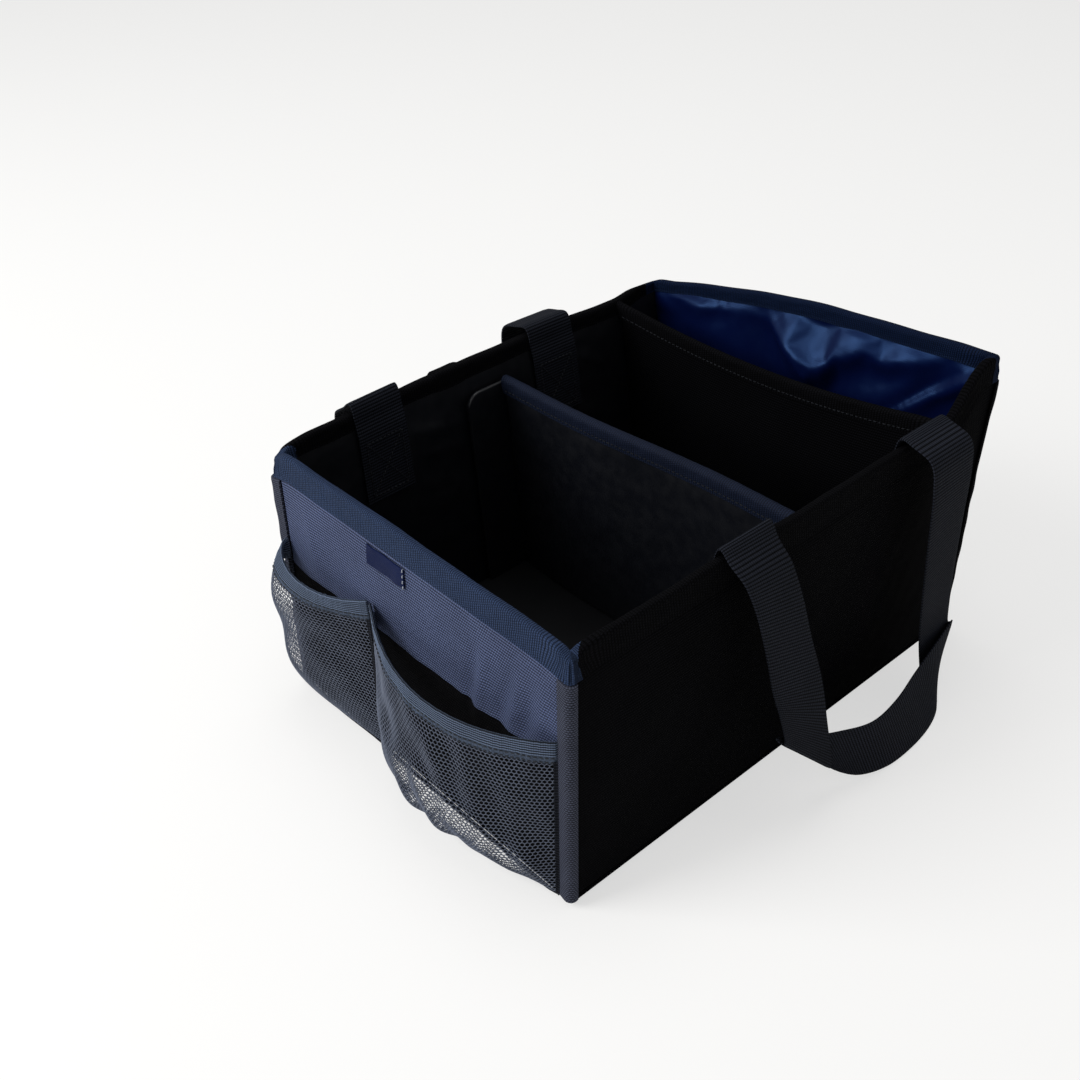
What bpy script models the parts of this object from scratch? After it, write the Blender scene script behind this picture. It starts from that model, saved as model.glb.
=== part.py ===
"""Car organizer bag: an open fabric box with two net pockets, a rear pocket and two handles.

The bag stands on its base at z = 0, with the origin under the middle of its body.
X runs across it, from the far handle to the near one, and Y from the net pockets (front,
negative) to the raised rear wall. All lengths are in metres.
"""
import math

import bmesh
import bpy
from mathutils import Vector

# Body
BODY_LENGTH = 0.356
BODY_WIDTH = 0.260
RIM_HEIGHT = 0.182
REAR_HEIGHT = 0.206
RISE_LENGTH = 0.0348
RISE_MARGIN = 0.012
LEAN = 0.026
SLUMP = 0.022

# Sheets, tapes and the room left between them
PANEL = 0.006
LINING = 0.0008
TAPE = 0.001
BASE = 0.005
BOARD = 0.0035
GAP = 0.0003
BASE_INSET = 0.0006
BOARD_CLEARANCE = 0.001
PANEL_EDGE = 0.0012

# Woven tape over the rim and round the upright corners
BAND = 0.016
BAND_EDGE = 0.0006
LAP_START = -0.045
LAP_LENGTH = 0.025
LAP_RISE = 0.0012
CORNER_TAPE = 0.0012
CORNER_LEG = 0.003
CORNER_WRAP = 120
CORNER_FOOT = 0.001
ACROSS_STEPS = 16

# Rear pocket
REAR_POCKET = 0.0455
POCKET_WALL = 0.003
POCKET_WALL_SAG = 0.011
HEM = 0.012

# Divider
DIVIDER_Y = 0.012
DIVIDER = 0.005
DIVIDER_DROP = 0.016
DIVIDER_BAND = 0.012
FLAP_LENGTH = 0.038
FLAP = 0.0025
FLAP_DROP = 0.004
FLAP_CORNER = 0.012
GRIP_TAPE = 0.001
GRIP_WIDTH = 0.025
GRIP_DROP = 0.012
GRIP_FOOT = 0.030

# Net pockets on the front
POCKET_INSET = 0.0085
SEAM_X = -0.036
SEAM_TAPE = 0.003
MOUTH_HEIGHT = 0.114
MOUTH_LIFT = 0.008
NET_FOOT = 0.0035
NET = 0.0012
ELASTIC_HEIGHT = 0.015
ELASTIC = 0.0012
NET_STRAND = 0.0034
RIGHT_BULGE = 0.042
RIGHT_MOUTH = 0.025
LEFT_BULGE = 0.019
LEFT_MOUTH = 0.015
NET_PITCH_X = 0.0131
NET_ROWS = 9

# Label
LABEL_WIDTH = 0.034
LABEL_HEIGHT = 0.013
LABEL_X = -0.017
LABEL_DROP = 0.003

# Handles
STRAP_WIDTH = 0.040
STRAP = 0.0016
TAIL = 0.050
LEG_SPACING = 0.158
NEAR_HANDLE_Y = 0.030
FAR_HANDLE_Y = -0.016
RIM_ARCH = 0.006
MM = 0.001

# Faces worked out from the sizes above
HALF_LENGTH = BODY_LENGTH / 2
HALF_WIDTH = BODY_WIDTH / 2
NOSE = PANEL / 2
WALL_FOOT = BASE + GAP
UNDER_BAND = TAPE + GAP
LINING_FACE = PANEL + GAP + LINING
BAND_INSIDE = LINING_FACE + GAP + TAPE
BOARD_TOP = BASE + GAP + BOARD
NET_STANDOFF = GAP + NET / 2
RISE_END = HALF_LENGTH - RISE_MARGIN
RISE_START = RISE_END - RISE_LENGTH
POCKET_WALL_Y = HALF_LENGTH - REAR_POCKET
DIVIDER_TOP = RIM_HEIGHT - DIVIDER_DROP
FLAP_TOP = DIVIDER_TOP - FLAP_DROP
GRIP_TOP = FLAP_TOP - GRIP_DROP
POCKET_END = HALF_WIDTH - POCKET_INSET
LABEL_TOP = RIM_HEIGHT - BAND - LABEL_DROP

# How a filled net stands off the wall: powers of its arch's start and end, how fast it leaves
# its foot, how soon its belly gives way to its mouth, and how far it swings sideways
RIGHT_FORM = (0.63, 0.79, 5.5, 0.45, 0.1)
LEFT_FORM = (0.49, 1.42, 2.0, 6.0, 1.1)

# Colours and roughness of the real materials
OXFORD = ("#2c3040", 0.85)
BLACK_OXFORD = ("#14151a", 0.85)
COATED = ("#151c33", 0.30)
WEBBING = ("#15161b", 0.80)
ELASTIC_CLOTH = ("#2c3443", 0.80)
NET_CLOTH = ("#1f2530", 0.70)
STIFFENER = ("#24252a", 0.60)
GRIP = ("#101114", 0.95)


def linear(hex_colour):
    """Linear red, green and blue of an sRGB hex colour."""
    channels = [int(hex_colour[i:i + 2], 16) / 255 for i in (1, 3, 5)]
    return [c / 12.92 if c <= 0.04045 else ((c + 0.055) / 1.055) ** 2.4 for c in channels]


def lean(point):
    """Where a point of the cut-out bag goes when the soft bag stands racked, as it does in use.

    The far side leans forwards: in step with the distance from the near side, from the front
    wall and from the floor. The raised rear wall slumps towards its far corner, by the fourth
    power of the distance from the near side and the square of the height.
    """
    across = min(max((HALF_WIDTH - point.x) / BODY_WIDTH, 0), 1)
    along = min(max((point.y + HALF_LENGTH) / BODY_LENGTH, 0), 1)
    forwards = LEAN * across * along * point.z / RIM_HEIGHT
    raised = blend((point.y - RISE_START) / (RISE_END - RISE_START))
    down = SLUMP * raised * across ** 4 * (point.z / REAR_HEIGHT) ** 2
    return point - Vector((0, forwards, down))


def make_piece(name, mesh_builder, finish, location=(0, 0, 0)):
    """One named object from a bmesh, with its own material and its origin at location."""
    origin = Vector(location)
    for vertex in mesh_builder.verts:
        vertex.co = lean(vertex.co + origin) - origin
    mesh = bpy.data.meshes.new(name)
    bmesh.ops.recalc_face_normals(mesh_builder, faces=mesh_builder.faces)
    mesh_builder.to_mesh(mesh)
    mesh_builder.free()
    mesh.shade_smooth()
    mesh.set_sharp_from_angle(angle=math.radians(35))
    colour, roughness = finish
    material = bpy.data.materials.new(name)
    material.use_nodes = True
    shader = material.node_tree.nodes["Principled BSDF"]
    shader.inputs["Base Color"].default_value = (*linear(colour), 1)
    shader.inputs["Roughness"].default_value = roughness
    shader.inputs["Metallic"].default_value = 0
    mesh.materials.append(material)
    piece = bpy.data.objects.new(name, mesh)
    piece.location = location
    bpy.context.collection.objects.link(piece)
    return piece


def slab(name, size, centre, finish, edge=0.0):
    """A flat sheet of a given size, its edges rounded where edge is set."""
    builder = bmesh.new()
    bmesh.ops.create_cube(builder, size=1)
    bmesh.ops.scale(builder, vec=size, verts=builder.verts)
    piece = make_piece(name, builder, finish, centre)
    if edge:
        rounding = piece.modifiers.new("edges", "BEVEL")
        rounding.width = edge
        rounding.segments = 2
    return piece


def loft(name, rings, finish, closed=False, location=(0, 0, 0)):
    """Join equal rings of points into one skin, capped at both ends unless the path closes."""
    builder = bmesh.new()
    loops = [[builder.verts.new(point) for point in ring] for ring in rings]
    followers = loops[1:] + (loops[:1] if closed else [])
    for loop, follower in zip(loops, followers):
        for i in range(len(loop)):
            j = (i + 1) % len(loop)
            builder.faces.new((loop[i], loop[j], follower[j], follower[i]))
    if not closed:
        builder.faces.new(loops[0])
        builder.faces.new(loops[-1])
    return make_piece(name, builder, finish, location)


def extruded(name, outline, offset, finish):
    """A sheet whose outline is a ring of points, made thick by an offset vector."""
    offset = Vector(offset)
    far_ring = [Vector(point) + offset for point in outline]
    return loft(name, [outline, far_ring], finish)


def upright_sheet(name, half_width, faces, foot, top, finish, columns=ACROSS_STEPS, rows=5):
    """A sheet across the bag, cut into columns and rows so that it can lean.

    faces are the y of its front and rear faces, and top is its height at an x.
    """
    front, rear = faces
    rings = []
    for i in range(columns + 1):
        x = half_width * (2 * i / columns - 1)
        heights = [foot + (top(x) - foot) * j / rows for j in range(rows + 1)]
        ring = [(x, front, z) for z in heights]
        rings.append(ring + [(x, rear, z) for z in reversed(heights)])
    return loft(name, rings, finish)


def arc(centre, radius, start, end, steps):
    """Points on a circular arc in a plane, angles in degrees."""
    angles = [math.radians(start + (end - start) * i / steps) for i in range(steps + 1)]
    return [(centre[0] + radius * math.cos(a), centre[1] + radius * math.sin(a)) for a in angles]


def blend(t):
    """Smooth step from 0 to 1."""
    t = min(max(t, 0.0), 1.0)
    return t * t * (3 - 2 * t)


def rim_height(y):
    """Height of the finished rim: level from the front, then up to the rear wall."""
    rise = REAR_HEIGHT - RIM_HEIGHT
    return RIM_HEIGHT + rise * blend((y - RISE_START) / (RISE_END - RISE_START))


def side_stations():
    """Places along a side wall where its height or its tape changes, front to rear."""
    rise = [RISE_START + (RISE_END - RISE_START) * i / 6 for i in range(7)]
    level = [-HALF_LENGTH + NOSE, -0.5 * HALF_LENGTH, 0.3 * HALF_LENGTH]
    return level + rise + [HALF_LENGTH - NOSE]


# Walls

def side_wall(name, side, finish):
    """Side wall with round upright ends: a height and a half thickness along its length."""
    middle = side * (HALF_WIDTH - NOSE)
    turns = [math.radians(a) for a in (78, 55, 28)]
    nose = [(NOSE * math.sin(a), NOSE * math.cos(a)) for a in turns]
    front = [(-HALF_LENGTH + NOSE - reach, half) for reach, half in nose]
    rear = [(HALF_LENGTH - NOSE + reach, half) for reach, half in reversed(nose)]
    body = [(y, NOSE) for y in side_stations()]
    rings = []
    for y, half in front + body + rear:
        top = rim_height(y) - UNDER_BAND
        rings.append([
            (middle - half, y, WALL_FOOT), (middle + half, y, WALL_FOOT),
            (middle + half, y, top), (middle - half, y, top)])
    return loft(name, rings, finish)


def end_wall(name, end, height, finish):
    """Front or rear wall, standing between the side walls and behind their corner tapes."""
    half_width = HALF_WIDTH - PANEL - GAP - CORNER_TAPE
    faces = (end * HALF_LENGTH, end * (HALF_LENGTH - PANEL))
    return upright_sheet(name, half_width, faces, WALL_FOOT, lambda x: height - UNDER_BAND, finish)


def side_lining(name, side, finish):
    """Coated sheet inside a side wall, cut to the same rising edge."""
    outer = side * (HALF_WIDTH - PANEL - GAP)
    ends = HALF_LENGTH - PANEL - GAP
    stations = [-ends] + [y for y in side_stations() if abs(y) < ends] + [ends]
    outline = [(outer, -ends, WALL_FOOT), (outer, ends, WALL_FOOT)]
    outline += [(outer, y, rim_height(y) - UNDER_BAND) for y in reversed(stations)]
    return extruded(name, outline, (-side * LINING, 0, 0), finish)


def end_lining(name, end, height, finish):
    """Coated sheet inside the front or rear wall, between the two side linings."""
    half_width = HALF_WIDTH - LINING_FACE - GAP
    faces = (end * (HALF_LENGTH - PANEL - GAP), end * (HALF_LENGTH - LINING_FACE))
    return upright_sheet(name, half_width, faces, WALL_FOOT, lambda x: height - UNDER_BAND, finish)


def base_pieces():
    """The base that the walls are sewn to, and the loose board that lies on it."""
    size = (BODY_WIDTH - 2 * BASE_INSET, BODY_LENGTH - 2 * BASE_INSET, BASE)
    base = slab("base_panel", size, (0, 0, BASE / 2), BLACK_OXFORD)
    rounding = base.modifiers.new("corners", "BEVEL")
    rounding.width = BASE / 2 - GAP
    rounding.segments = 3
    margin = 2 * (LINING_FACE + BOARD_CLEARANCE)
    board = (BODY_WIDTH - margin, BODY_LENGTH - margin, BOARD)
    slab("base_board", board, (0, 0, BASE + GAP + BOARD / 2), STIFFENER, BOARD / 4)


# Tapes

def rim_profile(extra):
    """Cut through the folded rim tape: distance out from the wall's face, height from the rim."""
    outside = GAP + TAPE + extra
    inside = -BAND_INSIDE - extra
    e = BAND_EDGE
    soft = 0.3 * e
    return [
        (outside, -BAND), (outside, extra - e), (outside - soft, extra - soft), (outside - e, extra),
        (inside + e, extra), (inside + soft, extra - soft), (inside, extra - e), (inside, -BAND),
        (-BAND_INSIDE + TAPE, -BAND), (-BAND_INSIDE + TAPE, -TAPE), (GAP, -TAPE), (GAP, -BAND)]


def corner_point(sx, sy, out, angle):
    """A point out from the wall's face, part of the way round an upright corner."""
    radius = max(GAP, NOSE + out)
    x = HALF_WIDTH + out - radius + radius * math.cos(angle)
    y = HALF_LENGTH + out - radius + radius * math.sin(angle)
    return sx * x, sy * y


def rim_binding():
    """Tape folded over the whole rim, its ends lapped on the far side."""
    turns = [math.radians(a) for a in (0, 22.5, 45, 67.5, 90)]
    side = side_stations()[1:-1]
    lap_end = LAP_START + LAP_LENGTH
    lap = [(LAP_START - GAP, 0), (LAP_START, LAP_RISE), (lap_end, LAP_RISE), (lap_end + GAP, 0)]
    rings = []

    def straight(sx, y, extra=0.0):
        z = rim_height(y)
        rings.append([(sx * (HALF_WIDTH + out), y, z + up) for out, up in rim_profile(extra)])

    def across(sy, sx):
        for i in range(1, ACROSS_STEPS):
            x = sx * (HALF_WIDTH - NOSE) * (1 - 2 * i / ACROSS_STEPS)
            z = rim_height(sy * HALF_LENGTH)
            rings.append([(x, sy * (HALF_LENGTH + out), z + up) for out, up in rim_profile(0.0)])

    def corner(sx, sy, angles):
        for angle in angles:
            ring = []
            for out, up in rim_profile(0.0):
                x, y = corner_point(sx, sy, out, angle)
                ring.append((x, y, rim_height(sy * HALF_LENGTH) + up))
            rings.append(ring)

    corner(1, -1, reversed(turns))
    for y in side:
        straight(1, y)
    corner(1, 1, turns)
    across(1, 1)
    corner(-1, 1, reversed(turns))
    far = [(y, 0.0) for y in side] + lap
    for y, extra in sorted(far, reverse=True):
        straight(-1, y, extra)
    corner(-1, -1, turns)
    loft("rim_binding", rings, WEBBING, closed=True)


def corner_binding(name, sx, sy):
    """Tape sewn round an upright corner: round the nose, then flat on the side wall."""
    centre = (HALF_WIDTH - NOSE, HALF_LENGTH - NOSE)
    inner = NOSE + GAP
    outer = inner + CORNER_TAPE
    leg = centre[1] - CORNER_LEG
    outside = [(centre[0] + outer, leg)] + arc(centre, outer, 0, CORNER_WRAP, 8)
    inside = arc(centre, inner, CORNER_WRAP, 0, 8) + [(centre[0] + inner, leg)]
    top = rim_height(sy * leg) - BAND - GAP
    foot = CORNER_FOOT
    outline = [(sx * x, sy * y, foot) for x, y in outside + inside]
    extruded(name, outline, (0, 0, top - foot), WEBBING)


# Rear pocket

def pocket_wall():
    """Thin wall in front of the rear one, its top edge hanging a little between the sides."""
    narrow = HALF_WIDTH - BAND_INSIDE - GAP
    half = POCKET_WALL / 2

    def top(x):
        return RIM_HEIGHT - TAPE - GAP - POCKET_WALL_SAG * (1 - (x / narrow) ** 2)

    steps = ACROSS_STEPS
    faces = (POCKET_WALL_Y - half, POCKET_WALL_Y + half)
    upright_sheet("pocket_wall", narrow, faces, BOARD_TOP + GAP, top, BLACK_OXFORD)

    rings = []
    for i in range(steps + 1):
        x = narrow * (2 * i / steps - 1)
        z = top(x) + GAP
        outer = half + GAP + TAPE
        inner = half + GAP
        cut = [(-outer, z - HEM), (-outer, z + TAPE), (outer, z + TAPE), (outer, z - HEM),
               (inner, z - HEM), (inner, z), (-inner, z), (-inner, z - HEM)]
        rings.append([(x, POCKET_WALL_Y + out, up) for out, up in cut])
    loft("pocket_wall_hem", rings, COATED)


# Divider

def divider():
    """Padded cross wall held by two folded flaps, hook strips on them and loops on the linings."""
    loop_face = HALF_WIDTH - LINING_FACE - GAP
    hook_face = loop_face - GRIP_TAPE - GAP
    flap_face = hook_face - GRIP_TAPE - GAP
    end = flap_face - FLAP - GAP
    foot = BOARD_TOP + GAP
    faces = (DIVIDER_Y - DIVIDER / 2, DIVIDER_Y + DIVIDER / 2)
    upright_sheet("divider_panel", end, faces, foot, lambda x: DIVIDER_TOP - TAPE - GAP, BLACK_OXFORD)

    half = DIVIDER / 2 + GAP
    outer = half + TAPE
    cut = [(-outer, -DIVIDER_BAND), (-outer, 0), (outer, 0), (outer, -DIVIDER_BAND),
           (half, -DIVIDER_BAND), (half, -TAPE), (-half, -TAPE), (-half, -DIVIDER_BAND)]
    stations = [end * (2 * i / ACROSS_STEPS - 1) for i in range(ACROSS_STEPS + 1)]
    rings = [[(x, DIVIDER_Y + out, DIVIDER_TOP + up) for out, up in cut] for x in stations]
    loft("divider_top_band", rings, COATED)

    rear = DIVIDER_Y + DIVIDER / 2
    front = rear - FLAP_LENGTH
    rounded = arc((front + FLAP_CORNER, FLAP_TOP - FLAP_CORNER), FLAP_CORNER, 180, 90, 6)
    grip_y = rear - FLAP_LENGTH / 2
    grip_z = (GRIP_TOP + GRIP_FOOT) / 2
    grip_size = (GRIP_TAPE, GRIP_WIDTH, GRIP_TOP - GRIP_FOOT)
    for word, side in (("near", 1), ("far", -1)):
        outline = [(side * flap_face, rear, foot), (side * flap_face, front, foot)]
        outline += [(side * flap_face, y, z) for y, z in rounded]
        outline += [(side * flap_face, rear, FLAP_TOP)]
        extruded(f"divider_flap_{word}", outline, (-side * FLAP, 0, 0), BLACK_OXFORD)
        hook_x = side * (hook_face - GRIP_TAPE / 2)
        loop_x = side * (loop_face - GRIP_TAPE / 2)
        slab(f"divider_hook_{word}", grip_size, (hook_x, grip_y, grip_z), GRIP)
        slab(f"wall_loop_{word}", grip_size, (loop_x, grip_y, grip_z), GRIP)


# Net pockets

def pocket_point(start, end, bulge, mouth, form, u, v):
    """Surface of a filled net pocket: u runs along the wall, v from its foot to its mouth.

    Its mouth stands off the wall as an even arch and its belly as a lopsided one. The belly
    gives way to the mouth with height, and all of it tucks in towards the foot.
    """
    rise, fall, tuck_power, fade, swing = form
    peak = rise / (rise + fall)
    belly_arch = (u / peak) ** rise * ((1 - u) / (1 - peak)) ** fall
    mouth_arch = max(math.sin(math.pi * u), 0) ** 0.8
    tuck = (1 - (1 - v) ** tuck_power) ** 0.5
    share = v ** fade
    stand = tuck * (mouth * share * mouth_arch + bulge * (1 - share) * belly_arch)
    top = MOUTH_HEIGHT + MOUTH_LIFT * (2 * u - 1) ** 2
    return Vector((start + (end - start) * u - swing * (1 - u) * stand,
                   -HALF_LENGTH - NET_STANDOFF - stand,
                   NET_FOOT + (top - NET_FOOT) * v))


def pocket_normal(point, u, v):
    """Outward direction of the pocket's surface, from its slopes in u and v."""
    step = 0.002
    u = min(max(u, step), 1 - step)
    v = min(max(v, step), 1 - step)
    along = point(u + step, v) - point(u - step, v)
    up = point(u, v + step) - point(u, v - step)
    return along.cross(up).normalized()


def net_layers(builder, point, u, v, thickness):
    """A pair of vertices, on the outer and the inner face of the net."""
    middle = point(u, v)
    normal = pocket_normal(point, u, v)
    if u in (0.0, 1.0) or v == 0.0:
        normal = Vector((0, -1, 0))
    return [builder.verts.new(middle + normal * (s * thickness / 2)) for s in (1, -1)]


def net(name, point, columns, rows, top, strand):
    """A net of square holes: each cell is a frame of four strands, open in the middle."""
    builder = bmesh.new()
    knots = [[net_layers(builder, point, i / columns, top * j / rows, NET)
              for j in range(rows + 1)] for i in range(columns + 1)]
    side_u = strand[0] / 2
    side_v = strand[1] / 2
    for i in range(columns):
        for j in range(rows):
            u0, u1 = i / columns + side_u, (i + 1) / columns - side_u
            v0, v1 = top * j / rows + side_v, top * (j + 1) / rows - side_v
            corners = [knots[i][j], knots[i + 1][j], knots[i + 1][j + 1], knots[i][j + 1]]
            hole = [net_layers(builder, point, u, v, NET)
                    for u, v in ((u0, v0), (u1, v0), (u1, v1), (u0, v1))]
            for k in range(4):
                n = (k + 1) % 4
                for face in (0, 1):
                    builder.faces.new((corners[k][face], corners[n][face], hole[n][face], hole[k][face]))
                builder.faces.new((hole[k][0], hole[n][0], hole[n][1], hole[k][1]))
    border = [knots[i][0] for i in range(columns)] + [knots[columns][j] for j in range(rows)]
    border += [knots[i][rows] for i in range(columns, 0, -1)] + [knots[0][j] for j in range(rows, 0, -1)]
    for a, b in zip(border, border[1:] + border[:1]):
        builder.faces.new((a[0], b[0], b[1], a[1]))
    make_piece(name, builder, NET_CLOTH)


def elastic(name, point, foot, steps):
    """The gathered band at a pocket's mouth, which follows the net's surface."""
    rings = []
    for i in range(steps + 1):
        u = i / steps
        ring = []
        for v, side in ((foot, 1), (1, 1), (1, -1), (foot, -1)):
            normal = Vector((0, -1, 0)) if i in (0, steps) else pocket_normal(point, u, v)
            ring.append(point(u, v) + normal * (side * ELASTIC / 2))
        rings.append(ring)
    loft(name, rings, ELASTIC_CLOTH)


def net_pockets():
    """Two nets of unequal width, their elastics, and the tape that sews them down between."""
    beside = SEAM_TAPE / 2 + GAP
    spans = (
        ("left", -POCKET_END, SEAM_X - beside, LEFT_BULGE, LEFT_MOUTH, LEFT_FORM),
        ("right", SEAM_X + beside, POCKET_END, RIGHT_BULGE, RIGHT_MOUTH, RIGHT_FORM))
    depth = MOUTH_HEIGHT - NET_FOOT
    elastic_foot = 1 - ELASTIC_HEIGHT / depth
    net_top = elastic_foot - 2 * GAP / depth
    for word, start, end, *shape in spans:
        def point(u, v, fixed=(start, end, *shape)):
            return pocket_point(*fixed, u, v)
        columns = round((end - start) / NET_PITCH_X)
        strand = (NET_STRAND / (end - start), NET_STRAND / depth)
        net(f"mesh_pocket_{word}", point, columns, NET_ROWS, net_top, strand)
        elastic(f"pocket_elastic_{word}", point, elastic_foot, 2 * columns)
    tall = MOUTH_HEIGHT - NET_FOOT
    centre = (SEAM_X, -HALF_LENGTH - GAP - TAPE / 2, NET_FOOT + tall / 2)
    slab("pocket_seam_tape", (SEAM_TAPE, TAPE, tall), centre, WEBBING)


def label():
    """Small blank woven tab under the rim tape of the front wall."""
    centre = (LABEL_X, -HALF_LENGTH - GAP - TAPE / 2, LABEL_TOP - LABEL_HEIGHT / 2)
    slab("label_tab", (LABEL_WIDTH, TAPE, LABEL_HEIGHT), centre, COATED)


# Handles

def handle_edges():
    """Both edges of a drooping handle, as pairs of points at the same stretch of webbing.

    X is measured out from the body's middle plane and Y from the handle's middle. The first
    leg drops outside the wall, folds aslant near the floor and runs on edge to the second
    leg, which folds up the same way. Each row holds the outer edge, then the inner one, as
    steps in millimetres out from the wall, along from that edge's leg, and up from a level.
    """
    first = -LEG_SPACING / 2 - STRAP_WIDTH / 2
    second = first + STRAP_WIDTH
    third = LEG_SPACING / 2 - STRAP_WIDTH / 2
    fourth = third + STRAP_WIDTH
    inside = HALF_WIDTH - BAND_INSIDE - GAP - STRAP / 2
    crest = HALF_WIDTH - (BAND_INSIDE - GAP - TAPE) / 2
    tail_foot = RIM_HEIGHT - BAND - TAIL
    floor = STRAP / 2 + GAP
    first_drop = (
        ((11, 0, -4), (9, 0, -8)), ((20, 3, -22), (19, 3, -32)),
        ((27, 6, -47), (27, 6, -60)), ((33, 9, -75), (35, 10, -88)))
    run = (
        ((37, 12, 90), (40, 14, 62)), ((40, 16, 70), (43.5, 21, 24)),
        ((37.5, 14.5, 68.3), (41, 19.5, 22.3)), ((35, 16, 70), (38.5, 21, 24)),
        ((36, 40, 55), (41, 28, 13)), ((41, 68, 44), (49, 44, 3)),
        ((47.5, 92, 40.5), (55, 66, 0)), ((46, 118, 40.5), (55.5, 92, 0)),
        ((40, 146, 42), (52, 115, 0)), ((34, 176, 44), (46, 130, 2)))
    fold_up = (
        ((28, 4, 44), (38, 15, 4)), ((26.5, 5.5, 42.5), (35.5, 16.5, 2.5)),
        ((25, 4, 44), (33, 15, 4)), ((24, 3, 60), (29, 7, 45)), ((23, 2, 85), (28, 2, 80)))
    second_rise = (
        ((22, 1, -57), (25, 1, -60)), ((21, 0, -20), (22, 0, -20)), ((16, 0, -1), (16, 0, -1)))

    def over_the_rim(outer, inner):
        levels = (tail_foot, RIM_HEIGHT - BAND, RIM_HEIGHT - GAP)
        rows = [((inside, outer, z), (inside, inner, z)) for z in levels]
        top = RIM_HEIGHT + RIM_ARCH
        return rows + [((crest, outer, top), (crest, inner, top))]

    def placed(rows, outer, inner, level):
        return [tuple((HALF_WIDTH + out * MM, leg + along * MM, level + up * MM)
                      for (out, along, up), leg in zip(row, (outer, inner))) for row in rows]

    return (over_the_rim(first, second)
            + placed(first_drop, first, second, RIM_HEIGHT)
            + placed(run, first, second, floor)
            + placed(fold_up, fourth, third, floor)
            + placed(second_rise, fourth, third, RIM_HEIGHT)
            + over_the_rim(fourth, third)[::-1])


def smooth_through(points, steps):
    """A curve through the points, with each stretch cut into steps (Catmull and Rom's form)."""
    points = [Vector(p) for p in points]
    padded = [2 * points[0] - points[1]] + points + [2 * points[-1] - points[-2]]
    curve = []
    for a, b, c, d in zip(padded, padded[1:], padded[2:], padded[3:]):
        for i in range(steps):
            t = i / steps
            curve.append(0.5 * (2 * b + (c - a) * t + (2 * a - 5 * b + 4 * c - d) * t * t
                                + (3 * b - a - 3 * c + d) * t ** 3))
    return curve + [points[-1]]


def handle(name, side, middle_y):
    """A webbing handle: a ribbon between two edges, given its thickness along its normals."""
    pairs = handle_edges()
    steps = 3
    outer = smooth_through([pair[0] for pair in pairs], steps)
    inner = smooth_through([pair[1] for pair in pairs], steps)
    centres = [(a + b) / 2 for a, b in zip(outer, inner)]
    rings = []
    last = len(centres) - 1
    for i, (a, b) in enumerate(zip(outer, inner)):
        forward = centres[min(i + 1, last)] - centres[max(i - 1, 0)]
        normal = forward.cross(b - a).normalized() * (STRAP / 2)
        ring = [a + normal, b + normal, b - normal, a - normal]
        rings.append([(side * p.x, middle_y + p.y, p.z) for p in ring])
    loft(name, rings, WEBBING)


def build():
    for old in list(bpy.data.objects):
        bpy.data.objects.remove(old)
    base_pieces()
    side_wall("near_side_panel", 1, BLACK_OXFORD)
    side_wall("far_side_panel", -1, BLACK_OXFORD)
    end_wall("front_panel", -1, RIM_HEIGHT, OXFORD)
    end_wall("rear_panel", 1, REAR_HEIGHT, BLACK_OXFORD)
    side_lining("near_lining", 1, COATED)
    side_lining("far_lining", -1, COATED)
    end_lining("front_lining", -1, RIM_HEIGHT, COATED)
    end_lining("rear_lining", 1, REAR_HEIGHT, COATED)
    rim_binding()
    for word, sx, sy in (("front_near", 1, -1), ("front_far", -1, -1),
                         ("rear_near", 1, 1), ("rear_far", -1, 1)):
        corner_binding(f"corner_binding_{word}", sx, sy)
    pocket_wall()
    divider()
    net_pockets()
    label()
    handle("handle_near", 1, NEAR_HANDLE_Y)
    handle("handle_far", -1, FAR_HANDLE_Y)


build()
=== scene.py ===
"""Looks of a car organizer bag, laid out as a Blender add-on and run as a script.

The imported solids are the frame. Every soft solid is replaced by a detailed piece that is
worked out in the cut frame, where the bag stands square, and then settled into the racked,
bowed shape that the soft bag takes in use. All lengths are in metres.
"""
import math

import bpy
import numpy as np
from mathutils import Matrix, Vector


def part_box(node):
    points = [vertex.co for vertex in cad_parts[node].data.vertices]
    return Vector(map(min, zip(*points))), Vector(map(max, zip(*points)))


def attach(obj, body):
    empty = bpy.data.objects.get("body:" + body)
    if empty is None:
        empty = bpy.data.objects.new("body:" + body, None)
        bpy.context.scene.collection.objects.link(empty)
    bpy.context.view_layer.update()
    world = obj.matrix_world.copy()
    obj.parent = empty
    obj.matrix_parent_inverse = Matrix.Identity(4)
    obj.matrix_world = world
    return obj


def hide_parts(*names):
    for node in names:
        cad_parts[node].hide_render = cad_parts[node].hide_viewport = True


bl_info = {
    "name": "Car organizer bag",
    "version": (1, 0, 0),
    "blender": (4, 5, 0),
    "location": "3D View > Sidebar > Organizer bag",
    "description": "Fabric organizer bag with net pockets, a divider and webbing handles",
    "category": "Object",
}

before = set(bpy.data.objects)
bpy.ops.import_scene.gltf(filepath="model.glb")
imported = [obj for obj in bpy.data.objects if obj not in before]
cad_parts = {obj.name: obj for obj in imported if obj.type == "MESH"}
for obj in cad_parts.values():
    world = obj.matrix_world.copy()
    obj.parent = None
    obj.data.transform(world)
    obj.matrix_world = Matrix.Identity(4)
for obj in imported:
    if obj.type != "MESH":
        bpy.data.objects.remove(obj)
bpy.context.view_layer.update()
BODY = "root"
MM = 0.001

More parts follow.
